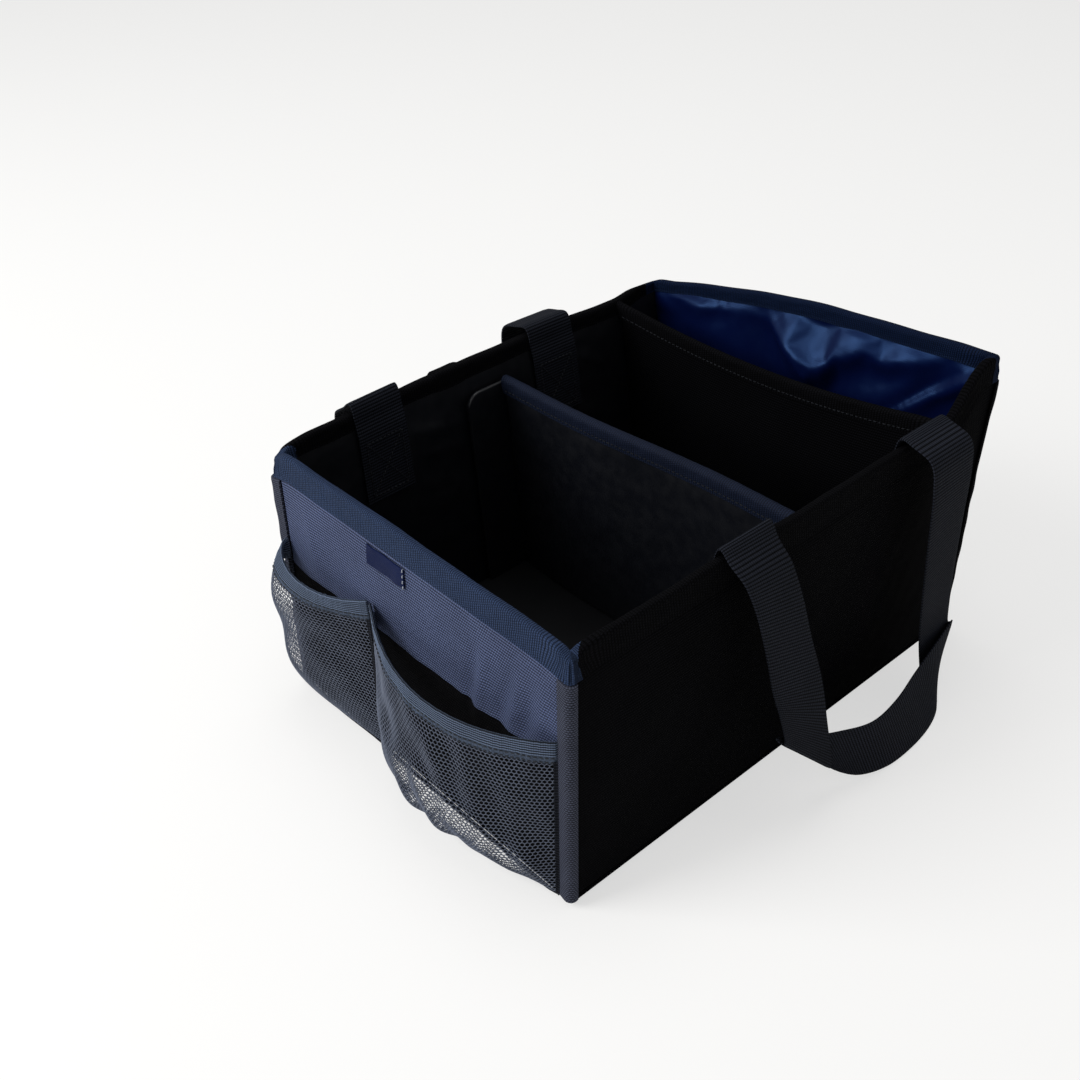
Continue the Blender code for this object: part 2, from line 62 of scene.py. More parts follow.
# Sizes of the cut bag. Those that the solids have too are the same as in the part's source.
# TUCK is how far a sheet's edge stays short of the tape over it, BAND_SEEN_INSIDE the rim tape's
# inner leg, SHADE_BEHIND_NETS_TOP how high the front cloth behind the nets is painted black as
# shade, and NET_HOLE how much of its cell a hole of the net takes.
BASE_INSET = 0.0006
HALF_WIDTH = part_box("base_panel")[1][0] + BASE_INSET
HALF_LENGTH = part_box("base_panel")[1][1] + BASE_INSET
REAR_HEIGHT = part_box("rim_binding")[1][2]
RIM_HEIGHT = 0.182
RISE_END = HALF_LENGTH - 0.012
RISE_START = RISE_END - 0.0348
LEAN = 0.026
SLUMP = 0.022
PANEL = 0.006
LINING = 0.0008
TAPE = 0.001
BASE = 0.005
GAP = 0.0003
TUCK = 0.0008
BAND = 0.016
BAND_SEEN_INSIDE = 0.0103
NOSE = PANEL / 2
WALL_FOOT = BASE + GAP
UNDER_BAND = TAPE + GAP
LINING_FACE = PANEL + GAP + LINING
BAND_INSIDE = LINING_FACE + GAP + TAPE
BOARD_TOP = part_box("base_board")[1][2]
CORNER_TAPE = 0.0012
CORNER_LEG = 0.003
WALL_END = HALF_WIDTH - PANEL - GAP - CORNER_TAPE
LAP = (-0.045, -0.020)
LAP_RISE = 0.0012
POCKET_WALL_Y = HALF_LENGTH - 0.0455
POCKET_WALL = 0.003
POCKET_WALL_SAG = 0.011
HEM = 0.012
DIVIDER_Y = 0.012
DIVIDER = 0.005
DIVIDER_TOP = RIM_HEIGHT - 0.016
DIVIDER_BAND = 0.012
FLAP_LENGTH = 0.038
FLAP = 0.0025
FLAP_TOP = DIVIDER_TOP - 0.004
FLAP_CORNER = 0.012
GRIP_WIDTH = 0.025
GRIP_SPAN = (0.030, FLAP_TOP - 0.012)
POCKET_END = HALF_WIDTH - 0.0085
SEAM_X = -0.036
SEAM_TAPE = 0.003
MOUTH_HEIGHT = 0.114
MOUTH_LIFT = 0.008
# Height below which the front cloth behind the nets is painted black as shade
SHADE_BEHIND_NETS_TOP = 0.102
NET_HOLE = 0.8
NET_FOOT = 0.0035
NET = 0.0012
ELASTIC_HEIGHT = 0.015
ELASTIC_FOOT = 0.0048
ELASTIC_RIBS = 6
ELASTIC_RIB = (ELASTIC_HEIGHT - ELASTIC_FOOT) / ELASTIC_RIBS
LABEL_X = -0.017
LABEL_SIZE = (0.034, 0.013)
LABEL_TOP = RIM_HEIGHT - BAND - 0.003
STRAP_WIDTH = 0.040
STRAP = 0.0016
TAIL = 0.050
LEG_SPACING = 0.158
HANDLES = {"near": (1, 0.030), "far": (-1, -0.016)}
RIM_ARCH = 0.006
SIDES = {"near": 1, "far": -1}

# Net pockets: both ends on the wall, depth of the belly and of the mouth, and the form: powers
# of the arch's start and end, how fast it leaves its foot, how soon the belly gives way to the
# mouth, and how far it swings sideways
BESIDE_SEAM = SEAM_TAPE / 2 + GAP
POCKETS = {
    "left": (-POCKET_END, SEAM_X - BESIDE_SEAM, 0.019, 0.015, (0.49, 1.42, 2.0, 6.0, 1.1)),
    "right": (SEAM_X + BESIDE_SEAM, POCKET_END, 0.042, 0.025, (0.63, 0.79, 5.5, 0.45, 0.1)),
}

# The camera stands where one fitted to the photograph stood
CAMERA_PLACE = (0.47936, -0.50434, 0.59364)
CAMERA_AZIMUTH = 48.5
CAMERA_ELEVATION = 35.7
CAMERA_ROLL = -1.3
CAMERA_LENS = 44.27
CAMERA_SENSOR = 36


def length_property(name, description, default):
    """A size in metres that a user may change."""
    return bpy.props.FloatProperty(
        name=name, description=description, default=default, min=0, unit="LENGTH", precision=4)


class OrganizerSizes(bpy.types.PropertyGroup):
    """Sizes of the soft bag's folds, yarns and stitches."""

    far_bow: length_property("Far wall's bow", "How far the far wall bows outwards at its rim", 0.008)
    near_bow: length_property("Near wall's bow", "How far the near wall bows outwards", 0.002)
    rear_lift: length_property("Rear rim's lift", "How far the rear rim stands up at its near end", 0.006)
    corner_lean: length_property("Corner lean", "How far the near rear corner leans out", 0.004)
    corner_dip: length_property("Corner dip", "How far the rim sinks at its front corners", 0.006)
    rim_press: bpy.props.FloatProperty(
        name="Rim press", description="Share of a wall's thickness that the rim's seam takes away",
        default=0.42, min=0, max=0.6, subtype="FACTOR")
    lining_slack: bpy.props.FloatProperty(
        name="Lining slack", description="How much larger the linings are cut than their walls",
        default=0.01, min=0, max=0.1, subtype="FACTOR")
    crown: length_property("Wall crown", "How far a padded wall swells between its seams", 0.0015)
    crease: length_property("Lining creases", "Height of the creases in the coated lining", 0.0034)
    net_pitch: length_property("Net pitch", "From one hole of the net to the next", 0.0029)
    net_row: length_property("Net row", "From one row of the net's holes to the next", 0.0024)
    yarn: length_property("Net yarn", "Thickness of the net's yarn", 0.0007)
    stitch_pitch: length_property("Stitch pitch", "From one stitch to the next", 0.0032)
    stitch_length: length_property("Stitch length", "Length of one stitch", 0.0024)
    thread: length_property("Thread", "Thickness of the sewing thread", 0.0007)


def colour_property(name, description, hex_colour):
    """A colour that a user may change, its default given as sRGB hex."""
    return bpy.props.FloatVectorProperty(
        name=name, description=description, default=linear(hex_colour), size=3, min=0, max=1,
        subtype="COLOR")


def linear(hex_colour):
    """Linear red, green and blue of an sRGB hex colour."""
    channels = [int(hex_colour[i:i + 2], 16) / 255 for i in (1, 3, 5)]
    return tuple(c / 12.92 if c <= 0.04045 else ((c + 0.055) / 1.055) ** 2.4 for c in channels)


class OrganizerColours(bpy.types.PropertyGroup):
    """Colours of the bag's cloths and of the floor."""

    front: colour_property("Front cloth", "Grey-blue woven polyester of the front", "#3d455e")
    side: colour_property("Side cloth", "Black woven polyester of the other walls", "#060608")
    lining: colour_property("Lining", "Navy coated nylon", "#040c30")
    trim: colour_property("Trim", "Navy woven tape inside the rear rim", "#09142a")
    edge_tape: colour_property("Edge tape", "Blue-black woven tape of the divider", "#111829")
    binding: colour_property("Binding", "Blue-grey woven tape of the front rim", "#212d44")
    corner: colour_property("Corner tape", "Grey woven tape of the front corners", "#313440")
    # The navy coated nylon again, painted near black as shade inside the bag
    shaded_lining: colour_property("Shaded lining", "Navy coated nylon painted blue-black as shade inside the bag", "#06080f")
    webbing: colour_property("Webbing", "Black polyester webbing", "#15171d")
    elastic: colour_property("Elastic", "Grey-blue knitted elastic", "#454f60")
    net: colour_property("Net", "Grey-blue yarn of the knitted net", "#596070")
    label: colour_property("Label", "Navy woven tab", "#101a3c")
    thread: colour_property("Thread", "Sewing thread", "#10141d")
    pale_thread: colour_property("Pale thread", "Thread beside the label", "#aeb4c0")
    board: colour_property("Board", "Polypropylene stiffening board", "#0e0f12")
    floor: colour_property("Floor", "Pale studio floor", "#f6f5f2")


def add_node(tree, kind, sockets=None, **settings):
    """One shader node, with its settings by name and its inputs as values or as links.

    An input may be a socket, a node, for its first output, or a sum: a tuple of the name of a
    Math operation and its inputs.
    """
    new = tree.nodes.new("ShaderNode" + kind)
    for key, value in settings.items():
        setattr(new, key, value)
    for key, value in (sockets or {}).items():
        if isinstance(value, tuple) and isinstance(value[0], str):
            value = add_node(tree, "Math", dict(enumerate(value[1:])), operation=value[0])
        if isinstance(value, bpy.types.Node):
            value = value.outputs[0]
        if isinstance(value, bpy.types.NodeSocket):
            tree.links.new(value, new.inputs[key])
        else:
            new.inputs[key].default_value = value
    return new


# Shaping

def smooth(t):
    """Smooth step from 0 to 1."""
    t = np.clip(t, 0.0, 1.0)
    return t * t * (3 - 2 * t)


def arch(t):
    """Half of an ellipse: 0 at 0 and 1, and 1 in the middle."""
    return np.sqrt(np.clip(4 * t * (1 - t), 0, 1))


def rim_height(y):
    """Height of the finished rim: level from the front, then up to the rear wall."""
    return RIM_HEIGHT + (REAR_HEIGHT - RIM_HEIGHT) * smooth((y - RISE_START) / (RISE_END - RISE_START))


def settle(points):
    """Where points of the cut bag come to rest.

    The far side leans forwards, in step with the distance from the near side, the front and
    the floor. The side walls bow outwards as a half wave along their length that grows with
    height. The raised rear wall slumps towards its far corner, by the fourth power of the
    distance from the near side and the square of the height, and stands up a little towards
    its near one, which leans out. The rim dips at its gathered front corners. Under the rim's
    tape the padding is sewn flat, so each wall is pressed towards its own middle there.
    """
    sizes = bpy.context.scene.organizer_sizes
    wall_reach, wall_fade, dip_reach = 0.007, 0.012, 0.014
    p = np.array(points, float)
    x, y, z = p[..., 0].copy(), p[..., 1].copy(), p[..., 2].copy()
    pressed = sizes.rim_press * smooth((z - rim_height(y) + 1.2 * BAND) / BAND)
    for axis, half in ((0, HALF_WIDTH), (1, HALF_LENGTH)):
        value = p[..., axis]
        off = value - np.sign(value) * (half - BAND_INSIDE / 2)
        p[..., axis] -= off * pressed * (1 - smooth((np.abs(off) - wall_reach) / wall_fade))
    across = np.clip((HALF_WIDTH - x) / (2 * HALF_WIDTH), 0, 1)
    along = np.clip((y + HALF_LENGTH) / (2 * HALF_LENGTH), 0, 1)
    height = np.clip(z / RIM_HEIGHT, 0, 1.1)
    wave = np.sin(np.pi * along) * height ** 1.5
    p[..., 0] -= sizes.far_bow * wave * np.clip(-x / HALF_WIDTH, 0, 1) ** 3
    p[..., 0] += sizes.near_bow * wave * np.clip(x / HALF_WIDTH, 0, 1) ** 3
    p[..., 1] -= LEAN * across * along * z / RIM_HEIGHT
    raised = smooth((y - RISE_START) / (RISE_END - RISE_START)) * (z / REAR_HEIGHT) ** 2
    p[..., 2] += raised * (sizes.rear_lift * smooth((0.9 - across) / 0.7) - SLUMP * across ** 4)
    p[..., 0] += sizes.corner_lean * (1 - across) ** 3 * along ** 4 * (z / REAR_HEIGHT) ** 3
    away = np.hypot(HALF_WIDTH - np.abs(x), HALF_LENGTH + y)
    p[..., 2] -= sizes.corner_dip * np.exp(-(away / dip_reach) ** 2) * height ** 6
    return p


def stations(low, high, step, edge=0.0):
    """Places from low to high about a step apart, and closer within edge of both ends."""
    if not edge:
        return np.linspace(low, high, max(2, round((high - low) / step) + 1))
    near = edge * np.array([0, 0.08, 0.3, 0.62])
    inner = np.linspace(low + edge, high - edge, max(2, round((high - low - 2 * edge) / step) + 1))
    return np.concatenate([low + near, inner, (high - near)[::-1]])


def rounded(along, up, edge):
    """Share of a sheet's thickness at its points: a quarter circle down to thin at each edge."""
    near = np.minimum(np.minimum(along - along[0], along[-1] - along)[:, None],
                      np.minimum(up - up[0], up[-1] - up)[None, :])
    rest = 1 - np.clip(near / edge, 0, 1)
    return 0.12 + 0.88 * np.sqrt(1 - rest ** 2)


def folds(a, b, seed, size, squeeze=1.0):
    """Irregular soft folds about size apart, as a sum of ten sine waves of random direction.

    Squeeze packs them closer along b than along a. The result stays near -1 to 1.
    """
    draw = np.random.default_rng(seed)
    total = np.zeros(np.broadcast(a, b).shape)
    waves = 10
    for _ in range(waves):
        turn, phase = draw.uniform(0, math.pi), draw.uniform(0, 2 * math.pi)
        wave = size * draw.uniform(0.6, 1.7)
        total += np.sin(2 * math.pi * (a * math.cos(turn) + b * squeeze * math.sin(turn)) / wave + phase)
    return total / math.sqrt(waves)


def ridge(a, b, start, end, width):
    """A crease from start to end: a bell across its line that fades at both of its ends."""
    run = np.array(end, float) - np.array(start, float)
    reach = np.hypot(*run)
    run /= reach
    along = ((a - start[0]) * run[0] + (b - start[1]) * run[1]) / reach
    aside = (b - start[1]) * run[0] - (a - start[0]) * run[1]
    fade = np.clip(along, 0, 1) * np.clip(1 - along, 0, 1) * 4
    return np.exp(-(aside / width) ** 2) * fade


def normals_of(surface, closed=False):
    """Unit normals of a grid of points: its step along the first way, crossed with the second."""
    if closed:
        ring = np.concatenate([surface[-1:], surface, surface[:1]])
        along = ring[2:] - ring[:-2]
    else:
        along = np.gradient(surface, axis=0)
    normal = np.cross(along, np.gradient(surface, axis=1))
    return normal / np.maximum(np.linalg.norm(normal, axis=-1, keepdims=True), 1e-12)


def grid(a, b, c):
    """Stack three arrays that broadcast to one grid into points."""
    a, b, c = np.broadcast_arrays(a, b, c)
    return np.stack([a, b, c], axis=-1).astype(float)


def grid_metres(surface):
    """Flat pattern of a grid: mean distance along its first way, then along its second."""
    first = np.linalg.norm(np.diff(surface, axis=0), axis=-1).mean(axis=1)
    second = np.linalg.norm(np.diff(surface, axis=1), axis=-1).mean(axis=0)
    return grid(np.concatenate([[0], np.cumsum(first)])[:, None],
                np.concatenate([[0], np.cumsum(second)])[None, :], 0.0)[..., :2]


def spans(surface):
    """Mean length of a grid along its first way, and along its second."""
    return (np.linalg.norm(np.diff(surface, axis=0), axis=-1).sum(axis=0).mean(),
            np.linalg.norm(np.diff(surface, axis=1), axis=-1).sum(axis=1).mean())


def skin(surface, out, back, closed=False):
    """A solid sheet: its surface moved out and back along its normals, and joined at the edges.

    Returns its points, its quads and a flat pattern in metres for each point.
    """
    normal = normals_of(surface, closed)
    outer = surface + normal * np.broadcast_to(out, surface.shape[:2])[..., None]
    inner = surface - normal * np.broadcast_to(back, surface.shape[:2])[..., None]
    rows, columns = surface.shape[:2]
    number = np.arange(rows * columns).reshape(rows, columns)
    if closed:
        number = np.concatenate([number, number[:1]])
    far = number + rows * columns
    a, b, c, d = number[:-1, :-1], number[1:, :-1], number[1:, 1:], number[:-1, 1:]
    e, f, g, h = far[:-1, :-1], far[1:, :-1], far[1:, 1:], far[:-1, 1:]
    strips = [(a, b, c, d), (e, h, g, f),
              (b[:, 0], a[:, 0], e[:, 0], f[:, 0]), (d[:, -1], c[:, -1], g[:, -1], h[:, -1])]
    if not closed:
        strips += [(a[0], d[0], h[0], e[0]), (c[-1], b[-1], f[-1], g[-1])]
    quads = np.concatenate([np.stack(s, axis=-1).reshape(-1, 4) for s in strips])
    metres = grid_metres(surface).reshape(-1, 2)
    points = np.concatenate([outer.reshape(-1, 3), inner.reshape(-1, 3)])
    return points, quads, np.concatenate([metres, metres])


def joined(parts):
    """Several points, quads and patterns as one."""
    start, quads = 0, []
    for points, faces, _ in parts:
        quads.append(faces + start)
        start += len(points)
    return (np.concatenate([p[0] for p in parts]), np.concatenate(quads),
            np.concatenate([p[2] for p in parts]))


def sample(surface, along, up):
    """Points of a grid at shares of its length and height, in between its own points."""
    rows, columns = surface.shape[:2]
    a = np.clip(along, 0, 1) * (rows - 1)
    b = np.clip(up, 0, 1) * (columns - 1)
    i = np.minimum(a.astype(int), rows - 2)
    j = np.minimum(b.astype(int), columns - 2)
    s, t = (a - i)[..., None], (b - j)[..., None]
    low = surface[i, j] * (1 - s) + surface[i + 1, j] * s
    high = surface[i, j + 1] * (1 - s) + surface[i + 1, j + 1] * s
    return low * (1 - t) + high * t


def evened(surface, rows, columns):
    """The same surface again, its points evenly spaced by length along both ways."""
    def along_first(points, count):
        steps = np.linalg.norm(np.diff(points, axis=0), axis=-1)
        reach = np.concatenate([np.zeros((1, points.shape[1])), np.cumsum(steps, axis=0)])
        share = np.linspace(0, 1, count)
        lines = [[np.interp(share * reach[-1, j], reach[:, j], points[:, j, k]) for k in range(3)]
                 for j in range(points.shape[1])]
        return np.array(lines).transpose(2, 0, 1)

    even = along_first(surface, rows)
    return along_first(even.transpose(1, 0, 2), columns).transpose(1, 0, 2)


def smooth_through(points, steps):
    """A curve through the points, each stretch cut into steps.

    Each stretch is a cubic, whose slope at a point is half of the way from the point before it
    to the point after it.
    """
    points = np.array(points, float)
    padded = np.concatenate([[2 * points[0] - points[1]], points, [2 * points[-1] - points[-2]]])
    a, b, c, d = (padded[k:len(padded) - 3 + k, None] for k in range(4))
    t = (np.arange(steps) / steps)[None, :, None]
    curve = 0.5 * (2 * b + (c - a) * t + (2 * a - 5 * b + 4 * c - d) * t ** 2
                   + (3 * b - a - 3 * c + d) * t ** 3)
    return np.concatenate([curve.reshape(-1, 3), points[-1:]])


def stitches(path, outward):
    """Thread stitches along a path: short four-sided bars that dip into the cloth at both ends."""
    sizes = bpy.context.scene.organizer_sizes
    path, outward = np.array(path, float), np.array(outward, float)
    outward = np.broadcast_to(outward, path.shape)
    reach = np.concatenate([[0], np.cumsum(np.linalg.norm(np.diff(path, axis=0), axis=1))])
    count = max(1, int(reach[-1] / sizes.stitch_pitch))
    middle = (np.arange(count) + 0.5) * reach[-1] / count
    at = middle[:, None] + np.array([-0.5, -0.32, 0.32, 0.5]) * sizes.stitch_length

    def on(values, place):
        return np.stack([np.interp(place, reach, values[:, k]) for k in range(3)], axis=-1)

    run = on(path, at + 0.0004) - on(path, at - 0.0004)
    run /= np.maximum(np.linalg.norm(run, axis=-1, keepdims=True), 1e-9)
    up = on(outward, at)
    side = np.cross(up, run)
    side /= np.maximum(np.linalg.norm(side, axis=-1, keepdims=True), 1e-9)
    up = np.cross(run, side)
    lift = sizes.thread * np.array([-0.5, 0.3, 0.3, -0.5])
    radius = sizes.thread * np.array([0.3, 0.5, 0.5, 0.3])
    turns = np.radians([45, 135, 225, 315])
    centre = on(path, at) + up * lift[None, :, None]
    points = (centre[:, :, None] + radius[None, :, None, None] * (
        np.cos(turns)[:, None] * side[:, :, None] + np.sin(turns)[:, None] * up[:, :, None]))
    ring = np.arange(16).reshape(4, 4)
    turned = np.roll(ring, -1, axis=1)
    faces = np.stack([ring[:-1], turned[:-1], turned[1:], ring[1:]], axis=-1).reshape(-1, 4)
    faces = np.concatenate([faces, [ring[0, ::-1]], [ring[-1]]])
    quads = (faces[None] + 16 * np.arange(count)[:, None, None]).reshape(-1, 4)
    pattern = np.stack(np.broadcast_arrays(at[:, :, None], turns[None, None, :] * sizes.thread), axis=-1)
    return points.reshape(-1, 3), quads, pattern.reshape(-1, 2)


def add_piece(name, shape, key, sharp=50):
    """One settled mesh piece of a finish, which rides on the body.

    A piece named after a node stands for it, and has soft_ before its name.
    """
    points, quads, metres = shape
    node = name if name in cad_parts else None
    if node:
        name = "soft_" + node
    mesh = bpy.data.meshes.new(name)
    mesh.vertices.add(len(points))
    mesh.vertices.foreach_set("co", settle(points).ravel())
    mesh.loops.add(quads.size)
    mesh.loops.foreach_set("vertex_index", quads.ravel().astype(np.int32))
    mesh.polygons.add(len(quads))
    mesh.polygons.foreach_set("loop_start", np.arange(0, quads.size, 4, dtype=np.int32))
    mesh.update(calc_edges=True)
    pattern = mesh.uv_layers.new(name="Pattern")
    pattern.data.foreach_set("uv", metres[quads.ravel()].astype(float).ravel())
    mesh.shade_smooth()
    mesh.set_sharp_from_angle(angle=math.radians(sharp))
    mesh.materials.append(finish(key))
    piece = bpy.data.objects.new(name, mesh)
    bpy.context.scene.collection.objects.link(piece)
    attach(piece, BODY)
    if node:
        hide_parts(node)
    return piece


# Finishes

def new_finish(name):
    """An empty node material and its node tree."""
    material = bpy.data.materials.new(name)
    material.use_nodes = True
    material.node_tree.nodes.clear()
    return material, material.node_tree


def places(tree):
    """Distances along both ways of a piece's flat pattern in metres, and the place in space."""
    pattern = add_node(tree, "SeparateXYZ", {0: add_node(tree, "UVMap", uv_map="Pattern")})
    return pattern.outputs[0], pattern.outputs[1], add_node(tree, "TexCoord").outputs["Object"]


def wave_of(place, pitch):
    """A sine of a place, one turn for each pitch, from 0 to 1."""
    return ("MULTIPLY_ADD", ("SINE", ("MULTIPLY", place, 2 * math.pi / pitch)), 0.5, 0.5)


def ribs_of(place, pitch):
    """Round ribs with sharp grooves between, one for each pitch: the size of a sine."""
    return ("ABSOLUTE", ("SINE", ("MULTIPLY", place, math.pi / pitch)))


def finish_with(tree, colour, height, depth, roughness, sockets):
    """The shader, with its colour, a bump of a height times a depth, and plain sockets."""
    bump = add_node(tree, "Bump", {"Height": height, "Distance": depth, "Strength": 1.0})
    shader = add_node(tree, "BsdfPrincipled", {
        "Base Color": colour, "Roughness": roughness, "Normal": bump, **sockets})
    add_node(tree, "OutputMaterial", {0: shader})


def varied(tree, place, colour, amount, scale):
    """A colour made darker and lighter in soft patches, as dye and handling leave it."""
    cloud = add_node(tree, "TexNoise", {"Vector": place, "Scale": scale, "Detail": 3.0})
    level = add_node(tree, "MapRange", {0: cloud, 1: 0.3, 2: 0.7, 3: 1 - amount, 4: 1 + amount})
    return add_node(tree, "Mix", {0: 1.0, 6: (*colour, 1), 7: level},
                    data_type="RGBA", blend_type="MULTIPLY").outputs[2]


def grooved(tree, dyed, height, span, shades, depth, roughness, gloss):
    """Cloth with painted shade in its grooves and a painted highlight on its crests.

    Its dyed colour is taken times the first shade where the height is at the low end of its
    span, and times the second shade at the high end.
    """
    shade = add_node(tree, "MapRange", {0: height, 1: span[0], 2: span[1], 3: shades[0], 4: shades[1]})
    shown = add_node(tree, "Mix", {0: 1.0, 6: dyed, 7: shade}, data_type="RGBA", blend_type="MULTIPLY")
    finish_with(tree, shown.outputs[2], height, depth, roughness, {"Specular IOR Level": gloss})


def woven(name, colour, rib, thread, depth, roughness, shades=(0.1, 1.95), across=False, gloss=0.1):
    """Plain woven polyester: rows of ribs with threads that pass over them in turn.

    The ribs' real pitch is 0.6 to 0.9 mm and is drawn coarser, so that it shows.
    """
    material, tree = new_finish(name)
    first, second, place = places(tree)
    if across:
        first, second = second, first
    turned = ("MULTIPLY", ("FLOOR", ("DIVIDE", second, rib)), math.pi)
    over = ("MULTIPLY_ADD", ("SINE", ("MULTIPLY_ADD", first, 2 * math.pi / thread, turned)), 0.3, 0.7)
    fuzz = add_node(tree, "TexNoise", {"Vector": place, "Scale": 900.0, "Detail": 2.0})
    height = add_node(tree, "Math", {0: fuzz, 1: 0.35, 2: ("MULTIPLY", ribs_of(second, rib), over)},
                      operation="MULTIPLY_ADD")
    dyed = varied(tree, place, colour, 0.10, 28.0)
    grooved(tree, dyed, height, (0.2, 1.0), shades, depth, roughness, gloss)
    return material


def coated(name, colour, roughness, gloss=0.45, tint=(1, 1, 1)):
    """Nylon taffeta with a polyurethane coat: a faint weave under a soft gloss of one tint.

    The weave's real pitch is about 0.2 mm and is drawn coarser.
    """
    material, tree = new_finish(name)
    along, across, place = places(tree)
    pitch = 0.0011
    weave = ("MULTIPLY", ("MULTIPLY", wave_of(along, pitch), wave_of(across, pitch)), 0.25)
    crinkle = add_node(tree, "TexNoise", {
        "Vector": place, "Scale": 130.0, "Detail": 2.0, "Roughness": 0.4})
    rough = add_node(tree, "MapRange", {
        0: crinkle, 1: 0.35, 2: 0.65, 3: roughness - 0.03, 4: roughness + 0.05})
    finish_with(tree, varied(tree, place, colour, 0.08, 16.0), ("MULTIPLY_ADD", crinkle, 1.2, weave),
                0.0001, rough, {"Specular IOR Level": gloss, "Specular Tint": (*tint, 1)})
    return material


def webbing(name, colour):
    """Woven polyester webbing: cross ribs, each broken by the threads that bind it.

    The real ribs are about 1.5 mm apart and are drawn a little coarser.
    """
    material, tree = new_finish(name)
    along, across, place = places(tree)
    binders = ("MULTIPLY_ADD", wave_of(across, 0.0018), 0.45, 0.55)
    fuzz = add_node(tree, "TexNoise", {"Vector": place, "Scale": 1100.0, "Detail": 2.0})
    height = add_node(tree, "Math", {0: fuzz, 1: 0.3, 2: ("MULTIPLY", ribs_of(along, 0.0021), binders)},
                      operation="MULTIPLY_ADD")
    dyed = varied(tree, place, colour, 0.10, 30.0)
    grooved(tree, dyed, height, (0.2, 1.0), (0.0, 2.5), 0.0004, 0.75, 0.05)
    return material


def knitted(name, colour):
    """Knitted elastic: lengthwise ribs with painted shade in the grooves between, above a plain fuzzy foot.
    """
    material, tree = new_finish(name)
    along, up, place = places(tree)
    ribs = ribs_of(("SUBTRACT", up, ELASTIC_FOOT), ELASTIC_RIB)
    ribbed = ("GREATER_THAN", up, ELASTIC_FOOT)
    fine = ("MULTIPLY_ADD", wave_of(along, 0.0013), 0.2, 0.8)
    fuzz = add_node(tree, "TexNoise", {"Vector": place, "Scale": 1000.0, "Detail": 2.0})
    foot = ("MULTIPLY_ADD", fuzz, 0.6, 0.3)
    height = add_node(tree, "Mix", {0: ribbed, 2: foot, 3: ("MULTIPLY", ribs, fine)}, data_type="FLOAT")
    dyed = varied(tree, place, colour, 0.10, 30.0)
    grooved(tree, dyed, height, (0.42, 0.9), (0.1, 1.9), 0.0003, 0.8, 0.1)
    return material


def yarn(name, colour, twist, depth, roughness):
    """Twisted yarn or thread: fine slanting plies along its length."""
    material, tree = new_finish(name)
    along, round_it, place = places(tree)
    plies = wave_of(("ADD", along, round_it), twist)
    finish_with(tree, varied(tree, place, colour, 0.15, 60.0), plies, depth, roughness,
                {"Sheen Weight": 0.05, "Specular IOR Level": 0.25})
    return material


def moulded(name, colour):
    """Extruded polypropylene board: a faint grain with scuffs from what lies on it."""
    material, tree = new_finish(name)
    place = add_node(tree, "TexCoord").outputs["Object"]
    grain = add_node(tree, "TexNoise", {"Vector": place, "Scale": 1400.0, "Detail": 2.0})
    scuffs = add_node(tree, "TexNoise", {"Vector": place, "Scale": 40.0, "Detail": 6.0})
    rough = add_node(tree, "MapRange", {0: scuffs, 1: 0.35, 2: 0.65, 3: 0.52, 4: 0.6})
    finish_with(tree, varied(tree, place, colour, 0.08, 20.0), grain, 0.00003, rough,
                {"Specular IOR Level": 0.2})
    return material


def napped(name, colour):
    """Hook and loop strip: dense short piles in rows, drawn a little coarser than they are."""
    material, tree = new_finish(name)
    along, across, place = places(tree)
    piles = ("MULTIPLY", wave_of(along, 0.0012), wave_of(across, 0.0012))
    finish_with(tree, varied(tree, place, colour, 0.2, 90.0), piles, 0.0004, 0.95,
                {"Sheen Weight": 0.04, "Specular IOR Level": 0.06})
    return material


